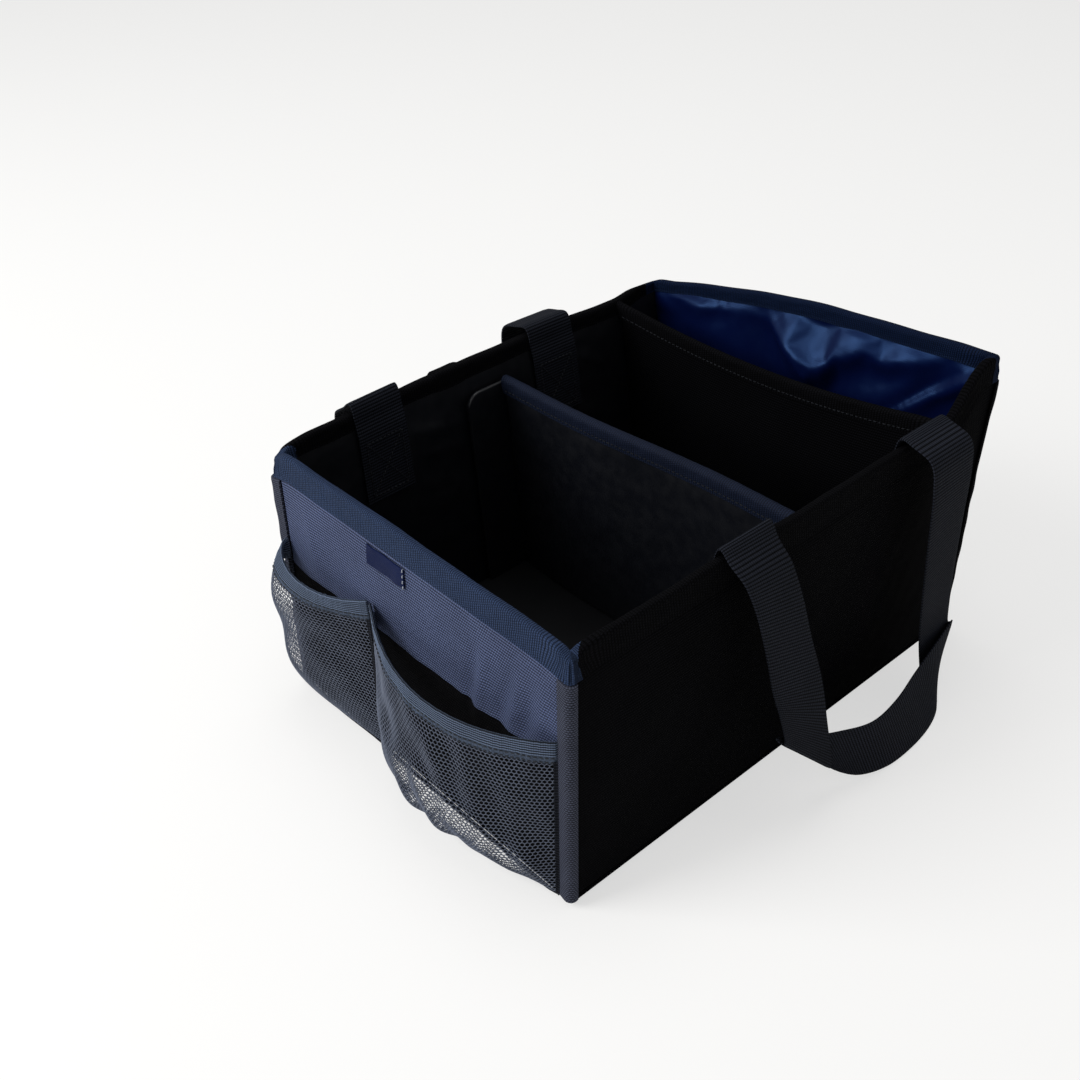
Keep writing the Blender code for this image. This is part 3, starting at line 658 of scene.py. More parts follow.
# Each finish: how it is made, the material's name, its colour and its own settings
OXFORD = {"rib": 0.0019, "thread": 0.0016, "depth": 0.0004}
TAPE_WEAVE = {"thread": 0.0013, "depth": 0.0003}
SEWING = {"twist": 0.0006, "depth": 0.0001, "roughness": 0.6}
RECIPES = {
    "front_oxford": (woven, "Oxford weave, grey-blue", "front",
                     {**OXFORD, "roughness": 0.85, "shades": (0.02, 2.1)}),
    "black_oxford": (woven, "Oxford weave, black", "side", {**OXFORD, "roughness": 0.9, "gloss": 0.03}),
    # black oxford binding, also painted on the rim tape's sides as shade
    "black_binding_and_rim_shade": (woven, "Binding of black oxford", "side",
                      {**OXFORD, "roughness": 0.9, "gloss": 0.04, "across": True}),
    "binding": (woven, "Woven binding, blue-grey", "binding",
                {"rib": 0.0015, "thread": 0.0014, "depth": 0.0003, "roughness": 0.85, "across": True}),
    "corner_tape": (woven, "Woven tape, grey", "corner",
                    {**TAPE_WEAVE, "rib": 0.0016, "roughness": 0.85, "shades": (0.0, 2.3)}),
    "trim": (woven, "Woven tape, navy", "trim",
             {**TAPE_WEAVE, "rib": 0.0013, "roughness": 0.7, "shades": (0.1, 2.0), "across": True,
              "gloss": 0.05}),
    "edge_tape": (woven, "Woven tape, blue-black", "edge_tape",
                  {**TAPE_WEAVE, "rib": 0.0016, "roughness": 0.7, "shades": (0.4, 1.5), "across": True}),
    "label": (woven, "Woven satin tab", "label",
              {"rib": 0.0006, "thread": 0.0008, "depth": 0.00008, "roughness": 0.5,
               "shades": (0.7, 1.2), "gloss": 0.04}),
    "coated_lining": (coated, "Coated nylon, navy", "lining",
                      {"roughness": 0.36, "gloss": 0.28, "tint": (0.18, 0.42, 1.0)}),
    # the coated lining again, painted near black as shade
    "shaded_lining": (coated, "Coated nylon, blue-black", "shaded_lining", {"roughness": 0.45}),
    "webbing": (webbing, "Polyester webbing, black", "webbing", {}),
    "elastic": (knitted, "Knitted elastic, grey-blue", "elastic", {}),
    "net": (yarn, "Knitted net yarn", "net", {"twist": 0.0009, "depth": 0.00015, "roughness": 0.7}),
    "thread": (yarn, "Sewing thread", "thread", SEWING),
    "pale_thread": (yarn, "Pale sewing thread", "pale_thread", SEWING),
    "stiffener": (moulded, "Polypropylene board", "board", {}),
    "grip_tape": (napped, "Hook and loop strip", "side", {}),
}
FINISHES = {}


def finish(key):
    """A finish of the bag, made the first time that it is asked for."""
    if key not in FINISHES:
        maker, name, colour, settings = RECIPES[key]
        FINISHES[key] = maker(name, getattr(bpy.context.scene.organizer_colours, colour), **settings)
    return FINISHES[key]


# Walls

# Creases of the front cloth: how high beside its crown, start and end in x and z, and width
CREASES = (
    (1.3, (0.066, 0.150), (0.056, 0.085), 0.0042), (-1.5, (0.058, 0.146), (0.047, 0.090), 0.0036),
    (-1.6, (0.087, 0.148), (0.072, 0.095), 0.0034), (1.5, (0.096, 0.156), (0.083, 0.095), 0.0036),
    (-1.4, (0.104, 0.150), (0.094, 0.098), 0.0030), (1.2, (0.113, 0.155), (0.106, 0.100), 0.0030),
    (0.8, (-0.100, 0.160), (-0.088, 0.110), 0.0040))


def front_relief(x, z):
    """How far the front wall's cloth stands out: a low crown, soft folds and a few creases.

    It falls to nothing at the corner tapes, at the foot and under the rim's tape.
    """
    sizes = bpy.context.scene.organizer_sizes
    side = 1 - np.clip(np.abs(x) / WALL_END, 0, 1) ** 8
    rise = np.clip((z - WALL_FOOT) / (RIM_HEIGHT - BAND - 0.001 - WALL_FOOT), 0, 1)
    waves = 0.5 * folds(x, z, 3, 0.060, 0.45) + 0.15 * folds(x, z, 5, 0.022, 0.6)
    creases = sum(high * ridge(x, z, start, end, width) for high, start, end, width in CREASES)
    return sizes.crown * (side * arch(rise)) * np.clip(1.1 + waves + creases, 0, 2.8)


def wall_relief(a, b, seed, swell):
    """A padded wall's crown with soft folds on it."""
    sizes = bpy.context.scene.organizer_sizes
    waves = 0.5 * folds(a, b, seed, 0.070, 0.6) + 0.18 * folds(a, b, seed + 1, 0.024, 0.8)
    return sizes.crown * swell * np.clip(1.1 + waves, 0, 2.4)


def end_wall(end, height):
    """A front or rear wall: a padded sheet between the corner tapes, thin at its edges."""
    step, edge = 0.003, 0.0018
    x = stations(-WALL_END, WALL_END, step, edge)
    z = stations(WALL_FOOT, height - UNDER_BAND - TUCK, step, edge)
    middle = grid(-end * x[:, None], end * (HALF_LENGTH - NOSE), z[None, :])
    body = rounded(x, z, edge) * NOSE
    if end < 0:
        relief = front_relief(middle[..., 0], middle[..., 2])
    else:
        side = 1 - (x[:, None] / WALL_END) ** 8
        rise = np.clip((z[None, :] - WALL_FOOT) / (height - BAND - WALL_FOOT), 0, 1)
        relief = wall_relief(x[:, None], z[None, :], 11, side * arch(rise))
    return skin(middle, body + relief, body)


def side_places(half, step, share_step, edge=0.0):
    """Places on a side wall from end to end: along, shares of its height, tops and heights."""
    y = stations(-half, half, step, edge)
    share = stations(0, 1, share_step, share_step if edge else 0.0)
    top = (rim_height(y) - UNDER_BAND - TUCK)[:, None]
    return y, share, top, WALL_FOOT + (top - WALL_FOOT) * share[None, :]


def side_wall(side, seed):
    """A side wall: a padded sheet with round upright ends and a rim that rises to the rear."""
    edge = 0.003
    y, share, top, z = side_places(HALF_LENGTH, 0.0035, 0.018, edge)
    middle = grid(side * (HALF_WIDTH - NOSE), y[:, None], z)
    body = rounded(y, share * RIM_HEIGHT, edge) * NOSE
    rise = np.clip((z - WALL_FOOT) / (top - BAND - WALL_FOOT), 0, 1)
    ends = 1 - (np.abs(y[:, None]) / (HALF_LENGTH - 0.006)).clip(0, 1) ** 10
    relief = wall_relief(y[:, None], z, seed, ends * arch(rise))
    if side < 0:
        middle, body, relief = middle[::-1], body[::-1], relief[::-1]
    return skin(middle, body + relief, body)


class OrganizerWalls(bpy.types.Operator):
    """Padded walls and base, with crowns and soft folds in their cloth"""

    bl_idname = "organizer.walls"
    bl_label = "Padded walls"

    def execute(self, context):
        shapes = {
            "front_panel": (end_wall(-1, RIM_HEIGHT), "front_oxford"),
            "rear_panel": (end_wall(1, REAR_HEIGHT), "black_oxford"),
            "near_side_panel": (side_wall(1, 21), "black_oxford"),
            "far_side_panel": (side_wall(-1, 31), "black_oxford"),
        }
        for node, (shape, key) in shapes.items():
            piece = add_piece(node, shape, key)
            if node == "front_panel":  # the front cloth behind the nets is painted black, as painted shade
                piece.data.materials.append(finish("black_oxford"))
                height = shape[0][shape[1]].mean(axis=1)[:, 2]
                piece.data.polygons.foreach_set(
                    "material_index", (height < SHADE_BEHIND_NETS_TOP).astype(np.int32))
        x, y = (stations(BASE_INSET - half, half - BASE_INSET, 0.006, BASE / 2)
                for half in (HALF_WIDTH, HALF_LENGTH))
        middle = grid(x[:, None], y[None, :], BASE / 2)
        body = rounded(x, y, BASE / 2) * BASE / 2
        base = add_piece("base_panel", skin(middle, body, body), "black_oxford")
        return {"FINISHED"}


# Linings

def lining_creases(a, b, seed):
    """Creases in a coated sheet: soft folds, and sharp ones where two folds' slopes meet."""
    broad = folds(a, b, seed, 0.090, 1.2)
    sharp = 1 - np.abs(folds(a, b, seed + 1, 0.075, 1.4)).clip(0, 1)
    fine = 1 - np.abs(folds(a, b, seed + 2, 0.040, 1.2)).clip(0, 1)
    return np.clip(0.2 + 0.35 * broad + 0.65 * sharp + 0.22 * fine, 0, 1.7)


def loose(distance, reach):
    """How free a sheet is at a distance from its seam: from 0 at the seam to 1 at reach."""
    return smooth(distance / reach)


def hanging_fold(a, b, crest, slope):
    """A fold of hanging cloth: it comes away from the wall at a slope down to its crest.

    The crest is given as rows of its place along, its height and how far above it the fold
    starts. Below the crest the cloth falls back to the wall as a bell.
    """
    place, height, reach = np.array(crest).T * MM
    top, deep = np.interp(a, place, height), np.interp(a, place, reach)
    above = np.clip(top + deep - b, 0, deep)
    below = deep * np.exp(-((top - b) / (0.005 + 0.4 * deep)) ** 2)
    return slope * np.where(b > top, above, below)


# The simulated sheet: stiff along its threads, slow to bend, and quickly at rest
SHEET_SETTINGS = {
    "vertex_group_mass": "sewn", "quality": 6, "mass": 0.15, "tension_stiffness": 40,
    "compression_stiffness": 40, "shear_stiffness": 20, "bending_stiffness": 60,
    "tension_damping": 10, "compression_damping": 10, "shear_damping": 10, "air_damping": 2}
SHEET_MOMENTS = 30
SHEET_PULL = (0, 1.5, -4)


def hung_sheet(a, off, b, held, slack, seed):
    """Cloth that is cut too large by a share, sewn down where held is true, and left to hang.

    It is simulated upright on a grid of a and b, off its wall by off, and is pulled down and a
    little away from the wall. Returns its points: along, off and up.
    """
    scene = bpy.context.scene
    rows, columns = a.shape
    number = np.arange(rows * columns).reshape(rows, columns)
    quads = np.stack([number[:-1, :-1], number[1:, :-1], number[1:, 1:], number[:-1, 1:]], axis=-1)
    mesh = bpy.data.meshes.new("hung_sheet")
    start = off + np.where(held, 0.0, 0.001 + 0.0012 * folds(a, b, seed, 0.06))
    mesh.from_pydata(grid(a, start, b).reshape(-1, 3).tolist(), [], quads.reshape(-1, 4).tolist())
    sheet = bpy.data.objects.new("hung_sheet", mesh)
    scene.collection.objects.link(sheet)
    sewn = sheet.vertex_groups.new(name="sewn")
    sewn.add(number[held].tolist(), 1.0, "REPLACE")
    cloth = sheet.modifiers.new("Cloth", "CLOTH")
    cloth.collision_settings.use_collision = False
    for key, value in SHEET_SETTINGS.items():
        setattr(cloth.settings, key, value)
    cloth.settings.shrink_min = cloth.settings.shrink_max = -slack
    gravity = scene.gravity.copy()
    scene.gravity = SHEET_PULL
    for moment in range(1, SHEET_MOMENTS + 1):
        scene.frame_set(moment)
    settled = sheet.evaluated_get(bpy.context.evaluated_depsgraph_get())
    points = np.empty(rows * columns * 3)
    settled.data.vertices.foreach_get("co", points)
    bpy.data.objects.remove(sheet)
    bpy.data.meshes.remove(mesh)
    scene.gravity = gravity
    scene.frame_set(1)
    return points.reshape(rows, columns, 3)


def refined(surface, steps):
    """A grid with each of its cells cut into steps both ways, on smooth curves."""
    first = np.stack([smooth_through(surface[:, j], steps) for j in range(surface.shape[1])], axis=1)
    return np.stack([smooth_through(first[i], steps) for i in range(len(first))], axis=0)


# The rear lining's two folds, as seen in the photograph, in millimetres: place along, the
# crest's height, and how far above it the fold starts
REAR_FOLDS = (
    ((-101, 196, 0), (-85, 190, 6), (-68, 185, 11), (-50, 185, 11), (-32, 178, 18), (-25, 171, 25),
     (-14, 168, 28), (5, 177, 19), (26, 190, 6), (45, 192, 4), (80, 190, 6), (110, 196, 0)),
    ((-126, 196, 0), (-120, 189, 7), (-110, 181, 9), (-93, 168, 7), (-74, 153, 2), (-60, 145, 0)))
FOLD_SLOPE = 0.55
FOLD_LIMIT = 0.018

# For the front lining, -1, and the rear one, 1: how high it lies flat from its foot, its share
# of the slack, and the seed of its creases. The rear pocket presses the rear one flat.
HUNG_LININGS = {-1: (0.030, 0.15, 47), 1: (0.085, 1.0, 41)}


def end_lining(end, height):
    """Coated sheet inside the front or rear wall, loose between its seams.

    It is held down at its sides, under the rim's tape and at its foot. The rear one starts in
    its main folds. A simulated cloth gives the small ones.
    """
    sizes = bpy.context.scene.organizer_sizes
    foot, slack, seed = HUNG_LININGS[end]
    half = HALF_WIDTH - LINING_FACE - GAP
    edge = height - BAND_SEEN_INSIDE
    step = 0.0036
    x = stations(-half, half, step)
    z = stations(WALL_FOOT, height - UNDER_BAND - TUCK, step)
    a, b = np.meshgrid(x, z, indexing="ij")
    off = np.zeros(a.shape)
    if end > 0:
        off = sum(hanging_fold(a, b, crest, FOLD_SLOPE) for crest in REAR_FOLDS)
    held = (np.abs(a) > half - 0.003) | (b > edge) | (b < foot)
    sheet = hung_sheet(a, off, b, held, sizes.lining_slack * slack, seed)
    sheet = refined(sheet, 2)
    stand = LINING / 2 + sheet[..., 1].clip(0, FOLD_LIMIT)
    middle = grid(-end * sheet[..., 0], end * (HALF_LENGTH - PANEL - GAP - stand), sheet[..., 2])
    return skin(middle, LINING / 2, LINING / 2)


def side_lining(side, seed):
    """Coated sheet inside a side wall, cut to the same rising rim."""
    sizes = bpy.context.scene.organizer_sizes
    end = HALF_LENGTH - PANEL - GAP
    y, _, top, z = side_places(end, 0.0028, 0.015)
    a = np.broadcast_to(y[:, None], z.shape)
    free = loose(end - np.abs(a), 0.020) * loose(z - 0.010, 0.030) * loose(top - BAND - z, 0.018)
    relief = 0.32 * sizes.crease * free * lining_creases(a, z, seed)
    middle = grid(side * (HALF_WIDTH - PANEL - GAP - LINING / 2) - side * relief, a, z)
    return skin(middle[::-1] if side < 0 else middle, LINING / 2, LINING / 2)


class OrganizerLinings(bpy.types.Operator):
    """Coated nylon sheets inside the walls"""

    bl_idname = "organizer.linings"
    bl_label = "Linings"

    def execute(self, context):
        width = 2 * (HALF_WIDTH - LINING_FACE)
        length = 2 * (HALF_LENGTH - PANEL)
        shapes = {
            "rear_lining": (end_lining(1, REAR_HEIGHT), (width, REAR_HEIGHT)),
            "front_lining": (end_lining(-1, RIM_HEIGHT), (width, RIM_HEIGHT)),
            "near_lining": (side_lining(1, 53), (length, RIM_HEIGHT)),
            "far_lining": (side_lining(-1, 59), (length, RIM_HEIGHT)),
        }
        for node, (shape, flat) in shapes.items():
            # every lining but the rear one is painted near black as shade
            key = "coated_lining" if node == "rear_lining" else "shaded_lining"
            piece = add_piece(node, shape, key)
        return {"FINISHED"}


# Rim and corner tapes

def rim_path():
    """The rim's way round, as rows of side, end, straight place and corner angle.

    A row's last value is 0 on the near and far sides, 1 on the front and rear, and the
    share of the quarter turn in between. Places lie closer within 12 mm of a corner.
    """
    clear, near = 0.007, 0.012

    def finer(reach):
        close = np.linspace(0, near, 25)[:-1]
        return np.concatenate([close - reach, stations(near - reach, reach - near, 0.003),
                               (reach - close)[::-1]])

    y, x = finer(HALF_LENGTH - clear), finer(HALF_WIDTH - clear)
    turn = np.linspace(0, 1, 17)

    def rows(side, end, place, share):
        return np.stack(np.broadcast_arrays(side, end, place, share), axis=-1).astype(float)

    return np.concatenate([
        rows(1, 0, y, 0), rows(1, 1, 0, turn), rows(0, 1, x[::-1], 1), rows(-1, 1, 0, turn[::-1]),
        rows(-1, 0, y[::-1], 0), rows(-1, -1, 0, turn), rows(0, -1, x, 1), rows(1, -1, 0, turn[::-1])])


def rim_points(path, out, up):
    """Points at a distance out from the wall's face and up from the rim, for each row of path."""
    side, end, place, share = (path[:, k, None] for k in range(4))
    out = np.broadcast_to(out, (len(path), np.shape(out)[-1]))
    radius = np.maximum(GAP, NOSE + out)
    angle = share * math.pi / 2
    corner = (side != 0) & (end != 0)
    x = np.where(corner, side * (HALF_WIDTH + out - radius + radius * np.cos(angle)),
                 np.where(end == 0, side * (HALF_WIDTH + out), place))
    y = np.where(corner, end * (HALF_LENGTH + out - radius + radius * np.sin(angle)),
                 np.where(end == 0, place, end * (HALF_LENGTH + out)))
    level = np.where(end == 0, place, end * HALF_LENGTH)
    return grid(x, y, rim_height(level) + up)


def rim_surface():
    """Middle of the folded rim tape: a leg up the outside, a round top and a shorter leg inside.

    Small puckers run along both legs and grow towards the stitches, the corners are gathered
    into upright folds, and the tape's two ends lap on the far side.
    """
    path = rim_path()
    outer, inner = GAP + TAPE / 2, -BAND_INSIDE + TAPE / 2
    crown = -TAPE / 2
    bend = 0.0026
    steps = 11
    legs = np.linspace(-BAND, -bend, steps)
    inside = np.linspace(-bend, -BAND_SEEN_INSIDE, steps)
    turn = np.radians(np.linspace(0, 90, 6))[1:-1]
    arc_out, arc_up = bend * (1 - np.cos(turn)), bend * (np.sin(turn) - 1)
    flat = np.linspace(outer - bend, inner + bend, 4)
    out = np.concatenate([np.full(steps, outer), outer - arc_out, flat,
                          inner + arc_out[::-1], np.full(steps, inner)])
    up = np.concatenate([legs, arc_up + crown, np.full(4, crown), arc_up[::-1] + crown, inside])
    on_outside = np.arange(len(up)) < len(up) / 2
    outward = np.where(on_outside, 1, -1)[None, :]
    low = np.clip(-up / np.where(on_outside, BAND, BAND_SEEN_INSIDE), 0, 1)[None, :]

    bare = rim_points(path, out[None, :], up[None, :])
    middle = bare[:, 5]
    strides = np.linalg.norm(np.diff(middle, axis=0), axis=-1)
    reach = np.concatenate([[0], np.cumsum(strides)])[:, None]
    stitched = 0.83
    seam = np.exp(-((low - stitched) / 0.07) ** 2)
    swell = 0.00045 * np.sin(np.pi * np.clip(low / stitched, 0, 1))
    pucker = swell * (1 + 0.7 * folds(reach, low * 0.02, 61, 0.011)) - 0.0002 * seam
    apex = np.hypot(HALF_WIDTH - np.abs(middle[:, 0]), HALF_LENGTH - np.abs(middle[:, 1]))
    gathered = np.exp(-(apex[:, None] / 0.009) ** 2) * np.sqrt(np.sin(np.pi * low))
    pucker = pucker + gathered * 0.0006 * np.sin(2 * np.pi * reach / 0.0026)
    far = (path[:, 0] < 0) & (path[:, 1] == 0)
    lapped = far * smooth((path[:, 2] - LAP[0]) / 0.0015) * smooth((LAP[1] - path[:, 2]) / 0.0015)
    lap = LAP_RISE * lapped[:, None]
    sway = 0.0006 * folds(reach, low * 0.01, 67, 0.075)
    return rim_points(path, out[None, :] + outward * (pucker + lap), up[None, :] + sway + lap * (low < 0.25))


def corner_tape(side, end):
    """Tape sewn round an upright corner: from the side round to the end wall, then a flat leg.

    It swells between its two seams and creases a little across, as gathered tape does.
    """
    foot, step, start, clear = 0.0045, 0.0022, 0.0008, 0.0007
    turn = np.linspace(0, math.radians(90), 12)[1:]
    radius = NOSE + GAP + CORNER_TAPE / 2
    centre = (HALF_WIDTH - NOSE, HALF_LENGTH - NOSE)
    leg = np.linspace(centre[0], WALL_END - clear, 6)[1:]
    x = np.concatenate([np.full(2, centre[0] + radius), centre[0] + radius * np.cos(turn), leg])
    y = np.concatenate([[centre[1] - start, centre[1]], centre[1] + radius * np.sin(turn),
                        np.full(len(leg), centre[1] + radius)])
    top = rim_height(np.array(end * (centre[1] - CORNER_LEG))) - BAND - GAP
    z = stations(foot, float(top), step)
    surface = grid(side * x[:, None], end * y[:, None], z[None, :])
    share = np.linspace(0, 1, len(x))[:, None]
    swell = np.sin(np.pi * share) * (0.0008 + 0.0004 * folds(
        z[None, :], share * 0.01, 71 + side + 2 * end, 0.024))
    if side * end < 0:
        surface, swell = surface[::-1], swell[::-1]
    return skin(surface, CORNER_TAPE / 2 + swell, CORNER_TAPE / 2)


class OrganizerTapes(bpy.types.Operator):
    """Tape folded over the rim, and tapes round the four upright corners"""

    bl_idname = "organizer.tapes"
    bl_label = "Rim and corner tapes"

    def execute(self, context):
        shape = skin(rim_surface()[:, ::-1], TAPE / 2, TAPE / 2, closed=True)
        binding = add_piece("rim_binding", shape, "binding")
        # the one rim tape is blue-grey at the front and navy at the rear; on the sides it is painted black
        # as shade
        binding.data.materials.append(finish("black_binding_and_rim_shade"))
        binding.data.materials.append(finish("trim"))
        centre = shape[0][shape[1]].mean(axis=1)
        round_corner = 0.009
        # faces on the sides, past the round corners, take the painted black shade
        side_in_painted_shade = (HALF_WIDTH - np.abs(centre[:, 0])
                   < HALF_LENGTH - np.abs(centre[:, 1]) - round_corner)
        on_rear = (centre[:, 1] > 0) & ~side_in_painted_shade
        binding.data.polygons.foreach_set("material_index", (side_in_painted_shade + 2 * on_rear).astype(np.int32))
        for end_word, end in (("front", -1), ("rear", 1)):
            for word, side in SIDES.items():
                key = "corner_tape" if end < 0 else "black_binding_and_rim_shade"
                add_piece(f"corner_binding_{end_word}_{word}", corner_tape(side, end), key)
        return {"FINISHED"}


# Rear pocket

def folded_tape(x, y, top, height, half, seed):
    """Tape turned over an edge that runs across the bag at a height given for each x.

    Half is from the edge's middle out to the tape's, and the tape puckers above its stitches.
    """
    bend, steps, stitched = half * 0.9, 8, 0.85
    legs = np.linspace(-height, -bend, steps)
    turn = np.radians(np.linspace(0, 180, 9))[1:-1]
    out = np.concatenate([np.full(steps, half), half * np.cos(turn), np.full(steps, -half)])
    up = np.concatenate([legs, bend * (np.sin(turn) - 1), legs[::-1]])
    low = np.clip(-up / height, 0, 1)[None, :]
    pucker = 0.00035 * np.sin(np.pi * np.clip(low / stitched, 0, 1)) * (
        1 + 0.7 * folds(x[:, None], low * 0.02, seed, 0.012))
    outward = np.sign(out)[None, :]
    return grid(x[:, None], y + -(out[None, :] + outward * pucker), top[:, None] + up[None, :])


def pocket_wall_top(x):
    """Height of the rear pocket's edge, which hangs between the sides."""
    half = HALF_WIDTH - BAND_INSIDE - GAP
    return RIM_HEIGHT - TAPE - GAP - POCKET_WALL_SAG * (1 - (x / half) ** 2)


class OrganizerRearPocket(bpy.types.Operator):
    """The wall in front of the rear one, and the hem along its edge"""

    bl_idname = "organizer.rear_pocket"
    bl_label = "Rear pocket"

    def execute(self, context):
        half, edge = HALF_WIDTH - BAND_INSIDE - GAP, 0.0015
        x = stations(-half, half, 0.004, edge)
        share = stations(0, 1, 0.022, 0.01)
        top = pocket_wall_top(x)
        z = BOARD_TOP + GAP + (top[:, None] - TUCK / 2 - BOARD_TOP - GAP) * share[None, :]
        body = rounded(x, share * RIM_HEIGHT, edge) * POCKET_WALL / 2
        hang = (1 - (x[:, None] / half) ** 4) * np.sin(np.pi * share[None, :].clip(0, 1))
        belly = 0.0016 * hang * (1 + 0.7 * folds(x[:, None], z, 81, 0.060, 0.6))
        middle = grid(x[:, None], POCKET_WALL_Y - belly, z)
        wall = add_piece("pocket_wall", skin(middle, body, body), "black_oxford")
        x = stations(-half, half, 0.003)
        tape = folded_tape(x, POCKET_WALL_Y, pocket_wall_top(x) + GAP + TAPE / 2, HEM,
                           POCKET_WALL / 2 + GAP + TAPE / 2, 83)
        add_piece("pocket_wall_hem", skin(tape, TAPE / 2, TAPE / 2), "black_binding_and_rim_shade")
        return {"FINISHED"}


# Divider

LOOP_FACE = HALF_WIDTH - LINING_FACE - GAP
HOOK_FACE = LOOP_FACE - TAPE - GAP
FLAP_FACE = HOOK_FACE - TAPE - GAP
DIVIDER_END = FLAP_FACE - FLAP - GAP


def divider_bow(x):
    """How far the divider bends in plan: a flat S, as a board that is a little too long does."""
    return 0.0022 * np.sin(2 * np.pi * x / (2 * DIVIDER_END)) * (1 - (x / DIVIDER_END) ** 4)


def divider_flap(side):
    """A folded end flap of the divider: a padded sheet with one round corner."""
    rear, edge = DIVIDER_Y + DIVIDER / 2, 0.0012
    y = stations(rear - FLAP_LENGTH, rear, 0.002, edge)
    into = np.clip((y - y[0]) / FLAP_CORNER, 0, 1)
    top = FLAP_TOP - FLAP_CORNER * (1 - np.sqrt(1 - (1 - into) ** 2))
    share = stations(0, 1, 0.02, 0.008)
    foot = BOARD_TOP + GAP
    z = foot + (top[:, None] - foot) * share[None, :]
    middle = grid(side * (FLAP_FACE - FLAP / 2), y[:, None], z)
    body = rounded(y, share * RIM_HEIGHT, edge) * FLAP / 2
    if side > 0:
        middle = middle[::-1]
    return skin(middle, body, body)


class OrganizerDivider(bpy.types.Operator):
    """The padded cross wall, its top tape, its end flaps, and the strips that hold it"""

    bl_idname = "organizer.divider"
    bl_label = "Divider"

    def execute(self, context):
        foot, step, edge = BOARD_TOP + GAP, 0.0035, 0.002
        x = stations(-DIVIDER_END, DIVIDER_END, step, edge)
        z = stations(foot, DIVIDER_TOP - TAPE - GAP - TUCK / 2, step, edge)
        body = rounded(x, z, edge) * DIVIDER / 2
        rise = (z[None, :] - foot) / (DIVIDER_TOP - DIVIDER_BAND - foot)
        swell = (1 - (x[:, None] / DIVIDER_END) ** 8) * arch(rise)
        relief = wall_relief(x[:, None], z[None, :], 91, swell)
        middle = grid(x[:, None], DIVIDER_Y + divider_bow(x)[:, None], z[None, :])
        # the divider's coated cloth is painted near black as shade
        panel = add_piece("divider_panel", skin(middle, body + relief, body + relief),
                          "shaded_lining")
        x = stations(-DIVIDER_END, DIVIDER_END, 0.003)
        tape = folded_tape(x, DIVIDER_Y + divider_bow(x)[:, None],
                           np.full(len(x), DIVIDER_TOP - TAPE / 2), DIVIDER_BAND,
                           DIVIDER / 2 + GAP + TAPE / 2, 93)
        add_piece("divider_top_band", skin(tape, TAPE / 2, TAPE / 2), "edge_tape")
        grip_y = DIVIDER_Y + DIVIDER / 2 - FLAP_LENGTH / 2
        y = stations(grip_y - GRIP_WIDTH / 2, grip_y + GRIP_WIDTH / 2, 0.0025)
        z = stations(*GRIP_SPAN, 0.004)
        for word, side in SIDES.items():
            # the flaps' coated cloth is painted near black as shade
            flap = add_piece("divider_flap_" + word, divider_flap(side), "shaded_lining")
            for strip, face in (("divider_hook_", HOOK_FACE), ("wall_loop_", LOOP_FACE)):
                shape = skin(grid(side * (face - TAPE / 2), y[::side, None], z[None, :]),
                             TAPE / 2, TAPE / 2)
                add_piece(strip + word, shape, "grip_tape")
        return {"FINISHED"}


# Net pockets

def pocket_surface(word, low, high, rows, columns):
    """A filled net pocket between two shares of its height, evenly spaced.

    It stands off the front wall's cloth: its mouth as an even arch, its belly as a lopsided
    one. The belly gives way to the mouth with height, and all of it tucks in at the foot.
    """
    start, end, bulge, mouth, (rise, fall, tuck_power, fade, swing) = POCKETS[word]
    u = (0.5 - 0.5 * np.cos(np.linspace(0, math.pi, 161)))[:, None]
    v = (low + (high - low) * (1 - np.cos(np.linspace(0, math.pi / 2, 81))))[None, :]
    peak = rise / (rise + fall)
    belly_arch = (u / peak) ** rise * ((1 - u) / (1 - peak)) ** fall
    mouth_arch = np.sin(np.pi * u).clip(0, 1) ** 0.8
    tuck = np.sqrt(1 - (1 - v) ** tuck_power)
    share = v ** fade
    stand = tuck * (mouth * share * mouth_arch + bulge * (1 - share) * belly_arch)
    top = MOUTH_HEIGHT + MOUTH_LIFT * (2 * u - 1) ** 2
    x = start + (end - start) * u - swing * (1 - u) * stand
    z = NET_FOOT + (top - NET_FOOT) * v
    drop = 0.0012 * folds(x, z, 101 if word == "left" else 103, 0.034, 0.8)
    away = np.clip(stand / 0.012, 0, 1) * (1 - v ** 4)
    close = 1 - smooth(stand / 0.006)
    y = -HALF_LENGTH - GAP - NET / 2 - stand - drop * away - close * front_relief(x, z)
    return evened(grid(x, y, z), rows, columns)


